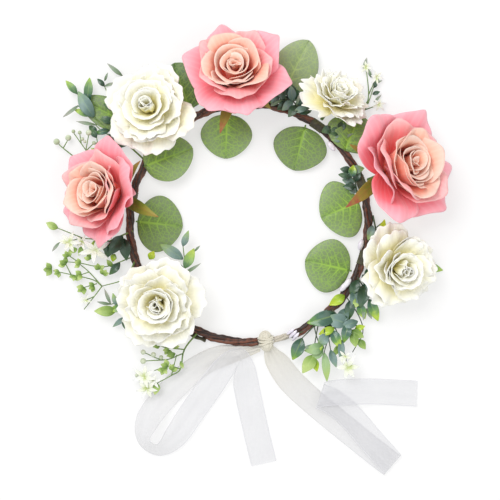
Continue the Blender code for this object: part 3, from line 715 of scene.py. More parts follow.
RUFFLE_RADIUS = 32 * MM
RUFFLE_LAYERS = (            # foot, length, width, lean, curl, count
    ((1.5, 0.5), 33.5, 35.0, (82, 70), 18, 5),
    ((1.5, 1.5), 30.5, 32.0, (72, 54), 24, 5),
    ((1.5, 2.6), 27.0, 28.0, (64, 38), 30, 5),
)
TUFT_LAYERS = (
    ((1.5, 3.6), 24.5, 27.0, (52, 20), 40, 5),
    ((2.2, 4.4), 22.5, 24.0, (36, 6), 44, 4),
    ((1.6, 5.0), 21.0, 20.0, (22, 0), 40, 3),
    ((0.7, 5.4), 19.0, 15.0, (10, -3), 30, 3),
)


def build_ruffled_flower(name, seed, turn, fringe=0.035, inner_lift=0.0):
    chance = np.random.default_rng(seed)
    head = Head(name, "_inner_petals")
    size = head.radius / RUFFLE_RADIUS
    for layers, part in ((RUFFLE_LAYERS, "_outer_petals"), (TUFT_LAYERS, "_inner_petals")):
        sheets = Sheets()
        for order, (foot, length, width, lean, curl, count) in enumerate(layers):
            calm = (length / layers[0][1] if part == "_inner_petals" else 1.0) ** 3
            calm *= 0.45 if part == "_inner_petals" else 1.0
            shape = dict(foot=(foot[0] * MM, foot[1] * MM), length=length * MM, width=width * MM,
                         lean=lean, curl=curl, wrap=1.3, roll=3.5 * MM * calm, ruffle=2.1 * MM * calm,
                         waves=4.5, tip=0.0, rounding=0.16, fringe=fringe * max(calm, 0.4),
                         warp=2.6 * MM * calm, pleat=0.15 * MM,
                         spread=14, base=0.28, inner_lift=inner_lift)
            whorl(sheets, head, size, shape, count, turn + order * 33, chance, jitter=20, columns=18)
        sheets.build(name + part + "_cloth", FINISH["white_petals"], name, WHITE_CLOTH,
                     stands_for=[name + part], slot="white_petals")
    colour_stem(name)


# ---------------------------------------------------------------- leaves

def foot_and_tip(name):
    """The end of a packed leaf or sprig beside the vine, and its far end."""
    points = node_points(name)
    ring = np.hypot(np.hypot(points[:, 0], points[:, 1]) - HOOP_RADIUS, points[:, 2] - VINE_HEIGHT)
    close = points[ring < ring.min() + 1.2 * MM]
    foot = close.mean(axis=0)
    tip = points[np.linalg.norm(points - foot, axis=1).argmax()]
    return foot, tip, points


# leaves half hidden behind a flower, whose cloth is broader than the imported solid
BROADER_LEAVES = {"leaf_outer_left": 1.6, "leaf_front_left": 1.25, "leaf_upper_right": 1.12}


def build_leaf(name, body, seed, finish, broader=1.0):
    chance = np.random.default_rng(seed)
    foot, tip, points = foot_and_tip(name)
    flat = np.array((tip[0] - foot[0], tip[1] - foot[1], 0.0))
    length = np.linalg.norm(flat)
    flat /= length
    side = np.array((-flat[1], flat[0], 0.0))
    lateral = (points - foot) @ side
    width = (lateral.max() - lateral.min()) * broader
    wide = (points - foot) @ flat
    blade_start = max(wide[np.abs(lateral) > width * 0.2].min() - 3 * MM, 2 * MM)
    top = points[:, 2].max() - (broader - 1) * 6 * MM

    rows, columns = 34, 24
    along, across = spans(rows, columns)
    half = width / 2 * np.clip(np.sin(pi * along ** 0.82), 0, 1) ** 0.56
    half = np.maximum(half, 0.6 * MM)
    notch = 0.05 * length * np.clip(1 - along * 4, 0, 1) * np.abs(across)
    forward = blade_start + (length - blade_start) * along - notch
    edge = np.abs(across)
    # the leaf's height: folded along its midrib, drooping and waving at its edges, veins pressed in
    slant = along - 0.42 * edge ** 1.3
    veins = np.exp(-(np.sin(slant * 5 * pi) / 0.22) ** 2) * smooth(0.02, 0.15, edge) * (1.1 - edge)
    wave = np.sin(along * 5 + chance.uniform(0, 6)) * np.sign(across) * edge ** 2
    height = (top - 0.6 * MM - 6 * MM * (along - 0.5) ** 2 + 0.9 * MM * edge
              - 1.4 * MM * edge ** 3 + 0.9 * MM * wave - 0.22 * MM * veins)
    height -= 0.5 * MM * np.exp(-(across / 0.06) ** 2)
    grid = (foot[None, None, :] * np.array((1, 1, 0)) + forward[..., None] * flat
            + (across * half)[..., None] * side)
    grid[..., 2] = height
    marks = sheet_marks(along, across, chance)
    sheets = Sheets()
    sheets.grid(grid, marks)
    sheets.build(name + "_cloth", finish, body, LEAF_CLOTH, stands_for=[name], slot="leaf")

    stalk = Sheets()
    start = np.array(foot)
    end = foot * np.array((1, 1, 0)) + flat * (blade_start + 0.45 * (length - blade_start))
    end[2] = height[rows // 2, columns // 2] - 0.7 * MM
    middle = foot * np.array((1, 1, 0)) + flat * blade_start
    middle[2] = height[0, columns // 2] - 0.6 * MM
    stalk.tube([start, start * 0.6 + middle * 0.4, middle, middle * 0.5 + end * 0.5, end],
               [0.8 * MM, 0.75 * MM, 0.7 * MM, 0.5 * MM, 0.15 * MM], 8)
    stalk.build(name + "_stalk", FINISH["fresh"], body, slot="leaf")


# ---------------------------------------------------------------- sprigs

def small_leaf(sheets, base, direction, length, width, chance, droop=0.1, rows=7, columns=4):
    """A pointed leaf from base along direction, folded a little along its midrib."""
    direction = np.asarray(direction, float)
    direction /= np.linalg.norm(direction)
    side = np.cross((0, 0, 1), direction)
    side /= np.linalg.norm(side) + TINY
    normal = np.cross(direction, side)
    along, across = spans(rows, columns)
    half = width / 2 * np.clip(np.sin(pi * np.clip(along, 0.02, 0.985) ** 0.9), 0, 1) ** 0.8
    rise = length * (0.10 * np.sin(along * pi) - droop * along ** 2) + np.abs(across) * half * 0.30
    rise = rise + half * 0.12 * np.sin(along * 9 + across * 2 + chance.uniform(0, 6)) * np.abs(across)
    twist = chance.uniform(-0.35, 0.35) * along
    bow = chance.uniform(-0.10, 0.10) * length * along ** 2
    grid = (np.asarray(base) + (along * length)[..., None] * direction
            + (bow + across * half * np.cos(twist))[..., None] * side
            + (rise + across * half * np.sin(twist))[..., None] * normal)
    marks = sheet_marks(along, across, chance)
    sheets.grid(grid, marks)


def heading(path, index):
    low, high = path[max(index - 1, 0)], path[min(index + 1, len(path) - 1)]
    return (high - low) / np.linalg.norm(high - low)


def turned(vector, degrees, rise=0.0):
    """A direction turned about +Z, then tipped up."""
    angle = radians(degrees)
    out = np.array((vector[0] * cos(angle) - vector[1] * sin(angle),
                    vector[0] * sin(angle) + vector[1] * cos(angle), 0.0))
    out /= np.linalg.norm(out)
    out[2] = rise
    return out / np.linalg.norm(out)


def star_flower(sheets, centre, size, chance, petals):
    """A small flower with narrow pointed petals."""
    start = chance.uniform(0, 360)
    for index in range(petals):
        azimuth = start + 360 / petals * index + chance.uniform(-8, 8)
        way = turned((1, 0), azimuth, chance.uniform(0.05, 0.45))
        small_leaf(sheets, centre, way, size * chance.uniform(0.85, 1.1), size * 0.34, chance, droop=0.12)


def lobed_bud(sheets, centre, direction, size, chance):
    """Three cupped lobes round a small green bud."""
    for index in range(3):
        way = turned(direction, -50 + 50 * index + chance.uniform(-10, 10), chance.uniform(-0.1, 0.5))
        small_leaf(sheets, centre, way, size, size * 0.75, chance, droop=0.0, rows=5)


# Each sprig's stems as points in mm, then what grows on them.  Each growth has its kind and the x and
# y of its foot in mm, followed by
#   a star's size in mm and its count of petals,
#   a bud's direction in degrees and its size in mm,
#   a berry's radius in mm,
#   a pearl's direction and its half length and half width in mm, or
#   for a leaf, whose kind is its finish, the direction, length and width.
# The places are for a hoop of LAYOUT_RADIUS, and laid_out moves them with the frame's own hoop.
LAYOUT_RADIUS = 92.5 * MM
SPRAYS = {
    "sprig_upper_left": (
        (((-80, 48, 5), (-100, 66, 3), (-119, 81, 6), (-129, 95, 6), (-134, 101, 5)),
         ((-119, 81, 6), (-127, 87, 6), (-133, 91, 6)), ((-100, 66, 3), (-112, 70, 3), (-119, 76, 5)),
         ((-100, 66, 3), (-104, 86, 3), (-112, 106, 4)), ((-104, 86, 3), (-100, 104, 4), (-98, 114, 4))),
        (("lance", -133, 100, 128, 13.5, 5.5), ("blue", -120, 82, 127, 23, 10.5),
         ("lance", -125, 95, 82, 17.5, 7), ("box", -124, 93, 96, 15, 6),
         ("lance", -122, 83, 159, 14, 5.5), ("slim", -132, 91, 222, 15, 2.8),
         ("slim", -118, 76, 174, 16, 2.8), ("dark", -118, 70, 140, 8, 5.5),
         ("slim", -98, 114, 144, 15, 3.4), ("slim", -112, 110, 65, 7, 2), ("dark", -112, 106, 130, 8, 4),
         ("slim", -112, 106, 20, 9, 2.4), ("dark", -112, 63, 8, 23, 13), ("blue", -106, 60, 172, 14, 5),
         ("dark", -105, 78, 160, 12, 6), ("dark", -103, 88, 150, 12, 6), ("box", -108, 72, 195, 12, 5))),
    "sprig_berry_left": (
        (((-88, 22, 5), (-112, 38, 6), (-128, 46, 6), (-144, 58, 5), (-148, 62, 5)),
         ((-144, 58, 5), (-140, 65, 5)), ((-128, 46, 6), (-126, 58, 6), (-124, 69, 6)),
         ((-128, 46, 6), (-132, 52, 6)), ((-118, 44, 6), (-126, 56, 6), (-136, 70, 5)),
         ((-126, 56, 6), (-120, 62, 6)), ((-130, 62, 6), (-131, 69, 6)),
         ((-112, 38, 6), (-116, 52, 6), (-118, 67, 6))),
        (("berry", -149, 63, 2.7), ("berry", -140, 66, 2.6), ("berry", -124, 70, 2.6),
         ("berry", -132, 52, 2.0), ("berry", -131, 70, 1.7), ("berry", -136, 71, 1.6),
         ("berry", -129, 65, 1.6), ("berry", -120, 62, 1.7), ("berry", -127, 63, 1.3),
         ("dark", -118, 66, 120, 8, 5), ("dark", -117, 58, 60, 7, 4), ("fresh", -116, 52, 60, 6, 3),
         ("fresh", -117, 55, 150, 6, 3), ("slim", -128, 46, 185, 8, 2), ("box", -110, 40, 100, 12, 6))),
    "sprig_star_left": (
        (((-90, -6, 5), (-108, -14, 5), (-119, -21, 6)), ((-108, -14, 5), (-128, -12, 5), (-139, -14, 6)),
         ((-128, -12, 5), (-148, -4, 5)), ((-139, -14, 5), (-147, -15, 4))),
        (("star", -139, -15, 9.5, 6), ("star", -119, -21, 12.5, 6), ("star", -129, -15, 7, 5),
         ("fresh", -148, -4, 160, 10, 6), ("slim", -147, -15, 232, 9, 2.4),
         ("fresh", -128, -18, 240, 8, 5), ("fresh", -112, -16, 300, 9, 6),
         ("dark", -106, -14, 250, 14, 8), ("dark", -98, -10, 235, 18, 10), ("dark", -97, -12, 280, 17, 9),
         ("lime", -104, -24, 250, 6, 5), ("fresh", -133, -20, 200, 7, 5),
         ("box", -110, -12, 200, 13, 7))),
    "sprig_bud_left": (
        (((-88, -29, 5), (-96, -43, 5), (-114, -49, 4)), ((-114, -49, 4), (-124, -38, 4), (-131, -32, 5)),
         ((-114, -49, 4), (-121, -44, 4), (-138, -40, 4), (-152, -37, 4)),
         ((-114, -49, 4), (-120, -57, 4), (-128, -67, 3)),
         ((-92, -27, 5), (-112, -34, 5), (-131, -31, 6), (-142, -30, 5)),
         ((-120, -57, 4), (-127, -60, 3)), ((-138, -40, 4), (-142, -32, 4)),
         ((-131, -31, 6), (-140, -25, 5)), ((-124, -38, 4), (-130, -40, 4)),
         ((-118, -47, 4), (-128, -50, 4))),
        (("bud", -153, -36, 180, 6.5), ("bud", -142, -32, 140, 6), ("bud", -140, -26, 120, 5),
         ("bud", -130, -40, 200, 5.5), ("bud", -128, -50, 220, 6), ("bud", -120, -49, 200, 5),
         ("bud", -116, -36, 100, 5), ("bud", -131, -32, 150, 5), ("bud", -123, -28, 110, 5),
         ("bud", -135, -41, 250, 4.5), ("bud", -147, -38, 210, 4.5), ("star", -127, -60, 5, 5),
         ("bud", -113, -40, 60, 5), ("dark", -100, -31, 230, 12, 6), ("fresh", -106, -34, 120, 7, 4))),
    "sprig_leaf_left": (
        (((-86, -36, 5), (-95, -58, 5), (-107, -63, 5)), ((-95, -58, 5), (-92, -70, 4), (-97, -74, 4))),
        (("fresh", -103, -68, 180, 16.5, 8.5), ("slim", -107, -63, 113, 13, 2.6),
         ("blue", -102, -64, 114, 10, 4.5), ("slim", -107, -63, 171, 11, 2.4),
         ("blue", -96, -73, 217, 12, 4), ("dark", -95, -74, 260, 8, 6), ("box", -97, -64, 200, 12, 6))),
    "sprig_inner_left": (
        (((-80, -45, 6), (-62, -46, 7), (-50, -39, 8), (-51, -17, 9)),),
        (("blue", -51, -28, 142, 21, 8.5), ("blue", -51, -18, 71, 12.5, 5.5),
         ("lance", -50, -35, 60, 17, 8), ("slim", -42, -22, 50, 6, 1.8), ("blue", -50, -36, 152, 12, 5),
         ("slim", -50, -39, 28, 15, 2.6), ("blue", -56, -44, 350, 15, 3), ("lime", -77, -28, 60, 7, 6))),
    "sprig_lower_left": (
        (((-39, -84, 5), (-50, -98, 6), (-53, -113, 6), (-60, -118, 6), (-71, -124, 6)),
         ((-50, -98, 6), (-69, -95, 6), (-75, -84, 6)), ((-51, -101, 6), (-66, -106, 6), (-82, -100, 5)),
         ((-53, -113, 6), (-63, -111, 6), (-80, -117, 5)),
         ((-60, -118, 6), (-58, -110, 6), (-56, -102, 6)), ((-66, -106, 6), (-82, -107, 5)),
         ((-71, -124, 6), (-79, -127, 5))),
        (("bud", -75, -84, 100, 5), ("bud", -76, -88, 150, 4.5), ("bud", -73, -92, 200, 4.5),
         ("bud", -69, -95, 150, 4.5), ("bud", -62, -98, 240, 5), ("bud", -58, -96, 60, 4.5),
         ("fresh", -57, -101, 200, 7, 4.5), ("bud", -63, -111, 160, 6), ("bud", -60, -114, 60, 5),
         ("bud", -66, -113, 250, 5), ("berry", -82, -100, 2.2), ("berry", -82, -107, 2.5),
         ("berry", -74, -102, 2.3), ("berry", -68, -104, 1.9), ("star", -81, -119, 9.5, 7),
         ("star", -79, -128, 9, 7), ("star", -74, -122, 7, 6), ("fresh", -71, -124, 262, 9, 6),
         ("berry", -87, -118, 1.6), ("fresh", -53, -107, 290, 6, 3))),
    "sprig_upper_right": (
        (((66, 68, 4), (78, 78, 2), (90, 88, 2), (97, 106, 2)), ((90, 88, 2), (93, 100, 1), (91, 121, 1)),
         ((90, 88, 2), (101, 92, 1)), ((93, 100, 1), (99, 113, 1)),
         ((66, 68, 4), (84, 84, 2), (93, 96, 2))),
        (("star", 91, 121, 5.5, 6), ("star", 99, 113, 5.5, 6), ("star", 101, 92, 5.5, 6),
         ("slim", 89, 119, 77, 10, 2.6), ("slim", 97, 106, 60, 9, 2.4), ("slim", 95, 113, 110, 8, 2.4),
         ("dark", 97, 105, 60, 6, 3), ("dark", 96, 100, 20, 6, 3.4), ("slim", 97, 94, 40, 8, 2),
         ("fresh", 84, 82, 340, 10, 4), ("slim", 96, 108, 20, 8, 2))),
    "sprig_right": (
        (((96, 6, 5), (101, -14, 5), (110, -26, 2), (126, -30, 1), (140, -34, 1)),
         ((98, -4, 5), (104, 1, 5)), ((101, -14, 5), (98, -26, 5))),
        (("lime", 100, -16, 76, 19, 7.5), ("dark", 97, -16, 300, 15, 9), ("dark", 98, -24, 330, 14, 8),
         ("lance", 132, -32, 346, 19, 8), ("dark", 104, -18, 350, 14, 8), ("dark", 97, -28, 260, 13, 7),
         ("blue", 96, -2, 250, 12, 6), ("box", 99, -8, 280, 14, 7), ("dark", 94, -34, 255, 12, 7),
         ("slim", 101, -12, 40, 12, 2.6), ("berry", 98, -29, 2.2), ("dark", 101, -36, 250, 12, 7))),
    "sprig_box_outer": (
        (((84, -42, 6), (90, -52, 6), (93, -62, 7)), ((86, -48, 6), (85, -62, 7)),
         ((90, -52, 6), (97, -50, 6))),
        (("dark", 90, -47, 262, 19, 10.5), ("lime", 88, -50, 258, 15, 6), ("box", 85, -62, 287, 13, 7.5),
         ("box", 93, -59, 291, 18, 8.5), ("slim", 91, -66, 300, 9, 3.4), ("slim", 89, -66, 262, 9, 3),
         ("dark", 88, -40, 300, 12, 7), ("blue", 90, -46, 320, 12, 7), ("dark", 84, -44, 250, 13, 8),
         ("fresh", 86, -58, 230, 10, 6), ("blue", 82, -52, 265, 14, 8))),
    "sprig_box_middle": (
        (((64, -67, 6), (74, -77, 8), (80, -84, 8)),
         ((76, -58, 6), (85, -72, 8), (88, -85, 8), (80, -100, 8)), ((80, -84, 8), (86, -93, 8))),
        (("box", 68, -71, 194, 24, 12), ("blue", 76, -78, 158, 17, 12), ("lime", 74, -56, 212, 14, 8),
         ("blue", 76, -66, 240, 16, 9), ("fresh", 79, -83, 330, 11, 7), ("fresh", 80, -85, 285, 11, 7),
         ("lime", 82, -82, 20, 8, 5), ("box", 77, -78, 250, 15, 8), ("dark", 78, -60, 270, 15, 8),
         ("dark", 70, -70, 300, 14, 8), ("blue", 84, -76, 200, 14, 7), ("fresh", 85, -90, 300, 9, 6),
         ("slim", 72, -74, 330, 14, 3))),
    "sprig_box_lower": (
        (((56, -74, 7), (61, -86, 10), (58, -100, 11)),
         ((62, -71, 7), (70, -89, 10), (74, -102, 11), (76, -111, 11)), ((61, -86, 10), (63, -98, 11)),
         ((50, -78, 7), (53, -90, 10), (57, -96, 11))),
        (("lime", 66, -81, 203, 13, 6.5), ("blue", 61, -86, 225, 12, 8.5), ("sage", 58, -96, 187, 15, 9),
         ("sage", 58, -100, 279, 22, 6.5), ("blue", 63, -98, 283, 14, 6), ("blue", 71, -90, 272, 16, 5.5),
         ("box", 64, -83, 300, 15, 8), ("star", 74, -103, 6.5, 5), ("star", 76, -111, 11, 6),
         ("fresh", 70, -94, 240, 10, 5), ("sage", 57, -97, 225, 12, 7), ("lime", 56, -92, 250, 9, 4),
         ("dark", 63, -78, 250, 13, 7))),
    "sprig_box_inner": (
        (((52, -78, 6), (46, -84, 9), (41, -89, 10)), ((54, -77, 6), (51, -92, 10), (50, -102, 10)),
         ((42, -84, 6), (36, -86, 7), (33, -89, 7))),
        (("fresh", 50, -102, 239, 16, 10), ("box", 41, -89, 246, 18, 10.5),
         ("lime", 50, -104, 280, 11, 6), ("pearl", 34, -86, 225, 4.5, 1.5),
         ("pearl", 36, -88, 232, 4.5, 1.5), ("pearl", 32, -84, 218, 4, 1.4),
         ("slim", 50, -94, 200, 9, 2.6))),
}
DARK_STEMMED = ("sprig_box_outer", "sprig_box_middle", "sprig_box_lower", "sprig_box_inner", "sprig_right")


def laid_out(x, y, z=0.0):
    """A place in the sprigs' table (mm), moved out or in with the frame's hoop."""
    place = np.array((x, y, z)) * MM
    flat = np.hypot(place[0], place[1])
    place[:2] *= 1 + (HOOP_RADIUS - LAYOUT_RADIUS) / flat
    return place


def spread_stem(points):
    """A smooth path through a stem's points."""
    return smooth_path([laid_out(*point) for point in points], 5)


def height_near(stems, x, y):
    """The height of the stems' nearest point."""
    points = np.concatenate(stems)
    return points[np.hypot(points[:, 0] - x, points[:, 1] - y).argmin(), 2]


def build_spray(name, body, seed):
    chance = np.random.default_rng(seed)
    lines, items = SPRAYS[name]
    paths = [spread_stem(points) for points in lines]
    stems = Sheets()
    for order, path in enumerate(paths):
        thick = 0.75 if order == 0 else 0.5
        stems.tube(path, np.linspace(thick, 0.35, len(path)) * MM, 7)
    parts = {}
    for kind, x, y, *shape in items:
        base = laid_out(x, y)
        base[2] = height_near(paths, base[0], base[1]) + 0.3 * MM
        sheets = parts.setdefault("fresh" if kind == "bud" else kind, Sheets())
        if kind == "star":
            size, petals = shape
            base[2] += 1.5 * MM
            star_flower(sheets, base, size * MM, chance, petals)
        elif kind == "bud":
            way, size = shape
            lobed_bud(sheets, base, turned((1, 0), way), size * MM, chance)
        elif kind == "berry":
            radius = shape[0] * MM
            sheets.ball(base, (radius, radius, radius), chance.uniform(0, 1), 12)
        elif kind == "pearl":
            way, length, width = shape
            turn = Vector(turned((1, 0), way, -0.3)).to_track_quat("Z", "Y")
            sheets.ball(base, (width * MM, width * MM, length * MM), 0.5, 12, turn)
        else:
            way, length, width = shape
            rise = chance.uniform(0.05, 0.30)
            small_leaf(sheets, base, turned((1, 0), way, rise), length * MM, width * MM, chance,
                       droop=chance.uniform(0.10, 0.25), rows=10, columns=8)
    stem_finish = "dark_stem" if name in DARK_STEMMED else "stem"
    stems.build(name + "_stems", FINISH[stem_finish], body, stands_for=[name], slot="sprig", levels=0)
    for finish, sheets in parts.items():
        solid = finish in ("berry", "pearl")
        sheets.build(name + "_" + finish, FINISH[finish], body, 0.0 if solid else SPRIG_LEAF, slot="sprig")


def build_front_sprig():
    """The dark tangle of small leaves that runs along the vine's right side, from the front rose."""
    chance = np.random.default_rng(18)
    stems = Sheets()
    leaves = {"dark": Sheets(), "box": Sheets(), "slim": Sheets(), "blue": Sheets()}
    stalks = np.concatenate([node_points(name + "_stem") for name in
                             ("rose_front", "white_upper_right", "rose_right")])[:, :2]
    clearance = 6 * MM       # how near a leaf may come to a flower's stalk
    # start and end angle, distance out from the vine's centre, height, leaves' greatest length in mm
    for start, end, out, height, longest in ((61, 84, 6.5, 9, 13), (61, 80, 11.5, 6, 12),
                                             (42, 49, 6.0, 8, 11), (16, 27, -5.0, 8, 11)):
        points = []
        for angle in np.linspace(start, end, int((end - start) / 2)):
            points.append(polar(angle, HOOP_RADIUS + (out + 1.2 * sin(angle)) * MM,
                                (height + 1.5 * cos(angle)) * MM))
        stems.tube(points, np.linspace(0.7, 0.4, len(points)) * MM, 7)
        path = np.array(points)
        for index, point in enumerate(points):
            for side in (-1, 1):
                kind = chance.choice(["dark", "dark", "box", "blue", "slim"])
                width = 2.4 if kind == "slim" else chance.uniform(5, 7.5)
                way = turned(heading(path, index), side * 58 + chance.uniform(-24, 24),
                             chance.uniform(0.0, 0.4))
                length = chance.uniform(8, longest) * MM
                spots = [np.array(point)[:2] + np.array(way)[:2] * length * share for share in (0, 0.5, 1)]
                room = min(np.hypot(*(stalks - spot).T).min() for spot in spots)
                if room > clearance:
                    small_leaf(leaves[kind], np.array(point), way, length, width * MM,
                               chance, rows=8, columns=6)
    stems.build("sprig_front_stems", FINISH["dark_stem"], "right_arm", stands_for=["sprig_front"],
                slot="sprig", levels=0)
    for finish, sheets in leaves.items():
        sheets.build("sprig_front_" + finish, FINISH[finish], "right_arm", SPRIG_LEAF, slot="sprig")


def build_sprigs():
    for order, name in enumerate(SPRAYS):
        build_spray(name, BODY_OF[name], 70 + order)
    build_front_sprig()


# ---------------------------------------------------------------- vine

STRANDS = 3
STRAND_RADIUS = 1.9 * MM
STRAND_TWIST = 9.0           # turns of the strands round the hoop
# angles round the hoop in degrees: the ends of the vine's two arms, the knot, and the gathered tie
LEFT_END = 274.5
RIGHT_END = -69.0
KNOT_ANGLE = -81.8
TIE_START = -78.0
TIE_END = -67.5


def strand_path(start, end, strand, step=0.8):
    """One twisted strand's path between two angles round the hoop."""
    count = max(3, int(abs(end - start) / step))
    angles = np.linspace(start, end, count + 1)
    turn = np.radians(angles) * STRAND_TWIST + 2 * pi * strand / STRANDS
    swing = VINE_HEIGHT - STRAND_RADIUS
    swell = swing * (1 + 0.12 * np.sin(np.radians(angles) * 17 + strand))
    radius = HOOP_RADIUS + swell * np.cos(turn)
    height = VINE_HEIGHT + swing * np.sin(turn)
    path = np.stack((radius * np.cos(np.radians(angles)), radius * np.sin(np.radians(angles)), height),
                    axis=-1)
    thickness = STRAND_RADIUS * (1 + 0.14 * np.sin(np.radians(angles) * 41 + 2 * strand)
                                 + 0.08 * np.sin(np.radians(angles) * 97 + strand))
    return path, thickness


def vine_section(name, start, end, body, stands_for=()):
    sheets = Sheets()
    for strand in range(STRANDS):
        path, thickness = strand_path(start, end, strand)
        sheets.tube(path, thickness, 14, mark=strand / STRANDS)
    return sheets.build(name, FINISH["vine"], body, levels=0, stands_for=stands_for, slot="vine")


def build_vine():
    front = 24.0             # degrees each side of the front, the vine's part between the arms
    bending = vine_section("vine_front", 90 + front, 90 - front, None)
    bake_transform(bending)
    overlap = 1.2            # degrees that each arm's vine runs on into the front part
    vine_section("vine_left", 90 + front - overlap, LEFT_END, "left_arm", ["hoop_left"])
    vine_section("vine_right", RIGHT_END, 90 - front + overlap, "right_arm", ["hoop_right"])

    # floral tape where each flower's stem is bound to the vine
    for joint in frame["joints"]:
        if not joint["name"].endswith("_lean"):
            continue
        pivot = Vector(joint["pos_m"])
        angle = np.degrees(np.arctan2(pivot.y, pivot.x))
        sheets = Sheets()
        reach = 3.4          # degrees of tape each side of the stem
        count = 22
        path = [polar(a, HOOP_RADIUS, VINE_HEIGHT) for a in np.linspace(angle - reach, angle + reach, count)]
        ridges = 3.75 * MM + 0.16 * MM * np.sin(np.arange(count) * 2.1)
        sheets.tube(path, ridges, 16)
        flower = joint["child"]
        sheets.build(flower + "_tape", FINISH["tape"], joint["parent"], levels=0, slot="stem")

    # a bundle of taped stems beside the vine, and pale buds
    bundle = Sheets()
    for strand in range(3):
        angles = np.linspace(236, 250, 14)
        radius = HOOP_RADIUS + 3.9 * MM + strand * 0.7 * MM
        height = 2.2 * MM + strand * 1.1 * MM
        path = [polar(a, radius + 0.5 * MM * sin(a + strand), height) for a in angles]
        bundle.tube(path, 1.0 * MM, 8)
    bundle.build("stem_bundle", FINISH["tape"], "left_arm", slot="stem")

    for order, (angle, side, height, body) in enumerate((
            (43.0, -5.5, 8.0, "right_arm"), (-11.0, -4.5, 7.5, "right_arm"), (-9.2, 4.2, 8.0, "right_arm"),
            (-31.5, -3.5, 8.5, "right_arm"), (-34.0, -4.2, 8.0, "right_arm"))):
        bud = Sheets()
        centre = polar(angle, HOOP_RADIUS + side * MM, height * MM)
        outward = polar(angle - 95, 1.0).to_track_quat("Z", "Y")
        bud.ball(centre, (2.4 * MM, 2.2 * MM, 4.6 * MM), 0.5, 14, outward)
        bud.build(f"pearl_bud_{order + 1}", FINISH["pearl"], body, slot="sprig")


# ---------------------------------------------------------------- ribbon

RIBBON_WIDTH = 20 * MM
# x, y, z of the ribbon's middle (mm), heading and lift of its width (degrees), share of its width
RIBBON_LEFT = (
    (9.0, -96.0, 2.5, 270, 0, 0.35),
    (-8, -101.0, 0.8, 272, 0, 0.6),
    (-22, -103.5, 0.3, 285, 0, 0.85),
    (-36, -109.5, 0.3, 305, 0, 0.9),
    (-50, -120, 0.3, 317, 0, 1.0),
    (-65, -135, 0.3, 319, 0, 1.0),
    (-78, -152, 5.2, 335, 20, 1.0),
    (-81, -168, 10.0, 380, 56, 1.0),
    (-70, -175, 10.0, 450, 56, 1.0),
    (-57, -165, 5.2, 487, 18, 1.0),
    (-45, -148, 1.4, 500, 0, 1.0),
    (-30, -127, 2.4, 497, 0, 1.0),
    (-18, -111, 4.6, 488, 0, 0.9),
    (-8, -104, 6.6, 440, 14, 0.8),
    (-4, -113, 3.4, 392, 0, 0.9),
    (-2, -127, 0.3, 374, 0, 1.0),
    (4, -155, 0.3, 372, 0, 1.0),
    (11.6, -187, 0.3, 373, 0, 1.0),
)
RIBBON_RIGHT = (
    (15, -95, 3.5, 15, 0, 0.3),
    (17.5, -100.5, 2.0, 20, 0, 0.6),
    (22, -108, 0.6, 30, 0, 0.9),
    (31.8, -121.7, 0.3, 42, 0, 1.0),
    (48.8, -138, 0.3, 48, 0, 1.0),
    (76, -160.4, 0.3, 49, 0, 1.0),
    (100, -179.5, 0.7, 49, 0, 1.0),
    (111.5, -187.6, 2.6, 49, 0, 1.0),
    (96, -170, 4.2, 48, 0, 1.0),
    (78, -149, 3.6, 50, 0, 1.0),
    (64, -138, 4.4, 58, 0, 1.0),
    (55, -133.5, 6.4, 72, 0, 1.0),
    (68, -131, 7.6, 86, 0, 1.0),
    (92, -130.5, 4.0, 89, 0, 1.0),
    (112, -131.5, 0.5, 88, 0, 1.0),
    (131, -132.5, 0.3, 88, 0, 1.0),
)


def build_ribbon_tail(name, stations, seed):
    chance = np.random.default_rng(seed)
    rows = smooth_path(stations, 12)
    middle = rows[:, :3] * MM
    middle[:, 2] = np.maximum(middle[:, 2], TABLE_GAP)
    turn, lift, share = np.radians(rows[:, 3]), np.radians(np.maximum(rows[:, 4], 0)), rows[:, 5]
    width = np.stack((np.cos(turn) * np.cos(lift), np.sin(turn) * np.cos(lift), np.sin(lift)), axis=-1)
    step = np.linalg.norm(np.diff(middle, axis=0), axis=1)
    run = np.concatenate(([0], np.cumsum(step)))

    columns = 14
    across = np.linspace(-1, 1, columns + 1)
    points = middle[:, None, :] + width[:, None, :] * (across[None, :, None] * RIBBON_WIDTH / 2
                                                       * share[:, None, None])
    # soft lengthways folds, deeper where the ribbon is gathered, and a slow wave
    gather = (1 - share)[:, None]
    folds = (0.9 + 3.0 * gather) * MM * (0.5 + 0.5 * np.sin(across[None, :] * 7 + run[:, None] * 28))
    wave = 0.9 * MM * (0.5 + 0.5 * np.sin(run[:, None] * 150 + across[None, :] * 1.3 + chance.uniform(0, 6)))
    points[..., 2] += folds + wave * (share[:, None] > 0.6)
    marks = np.stack(np.broadcast_arrays(run[:, None], across[None, :],
                                         np.exp(-run / 0.045)[:, None]), axis=-1)
    sheets = Sheets()
    sheets.grid(points, marks)
    piece = sheets.build(name + "_cloth", FINISH["organza"], "left_arm", levels=1,
                         stands_for=[name], slot="ribbon")


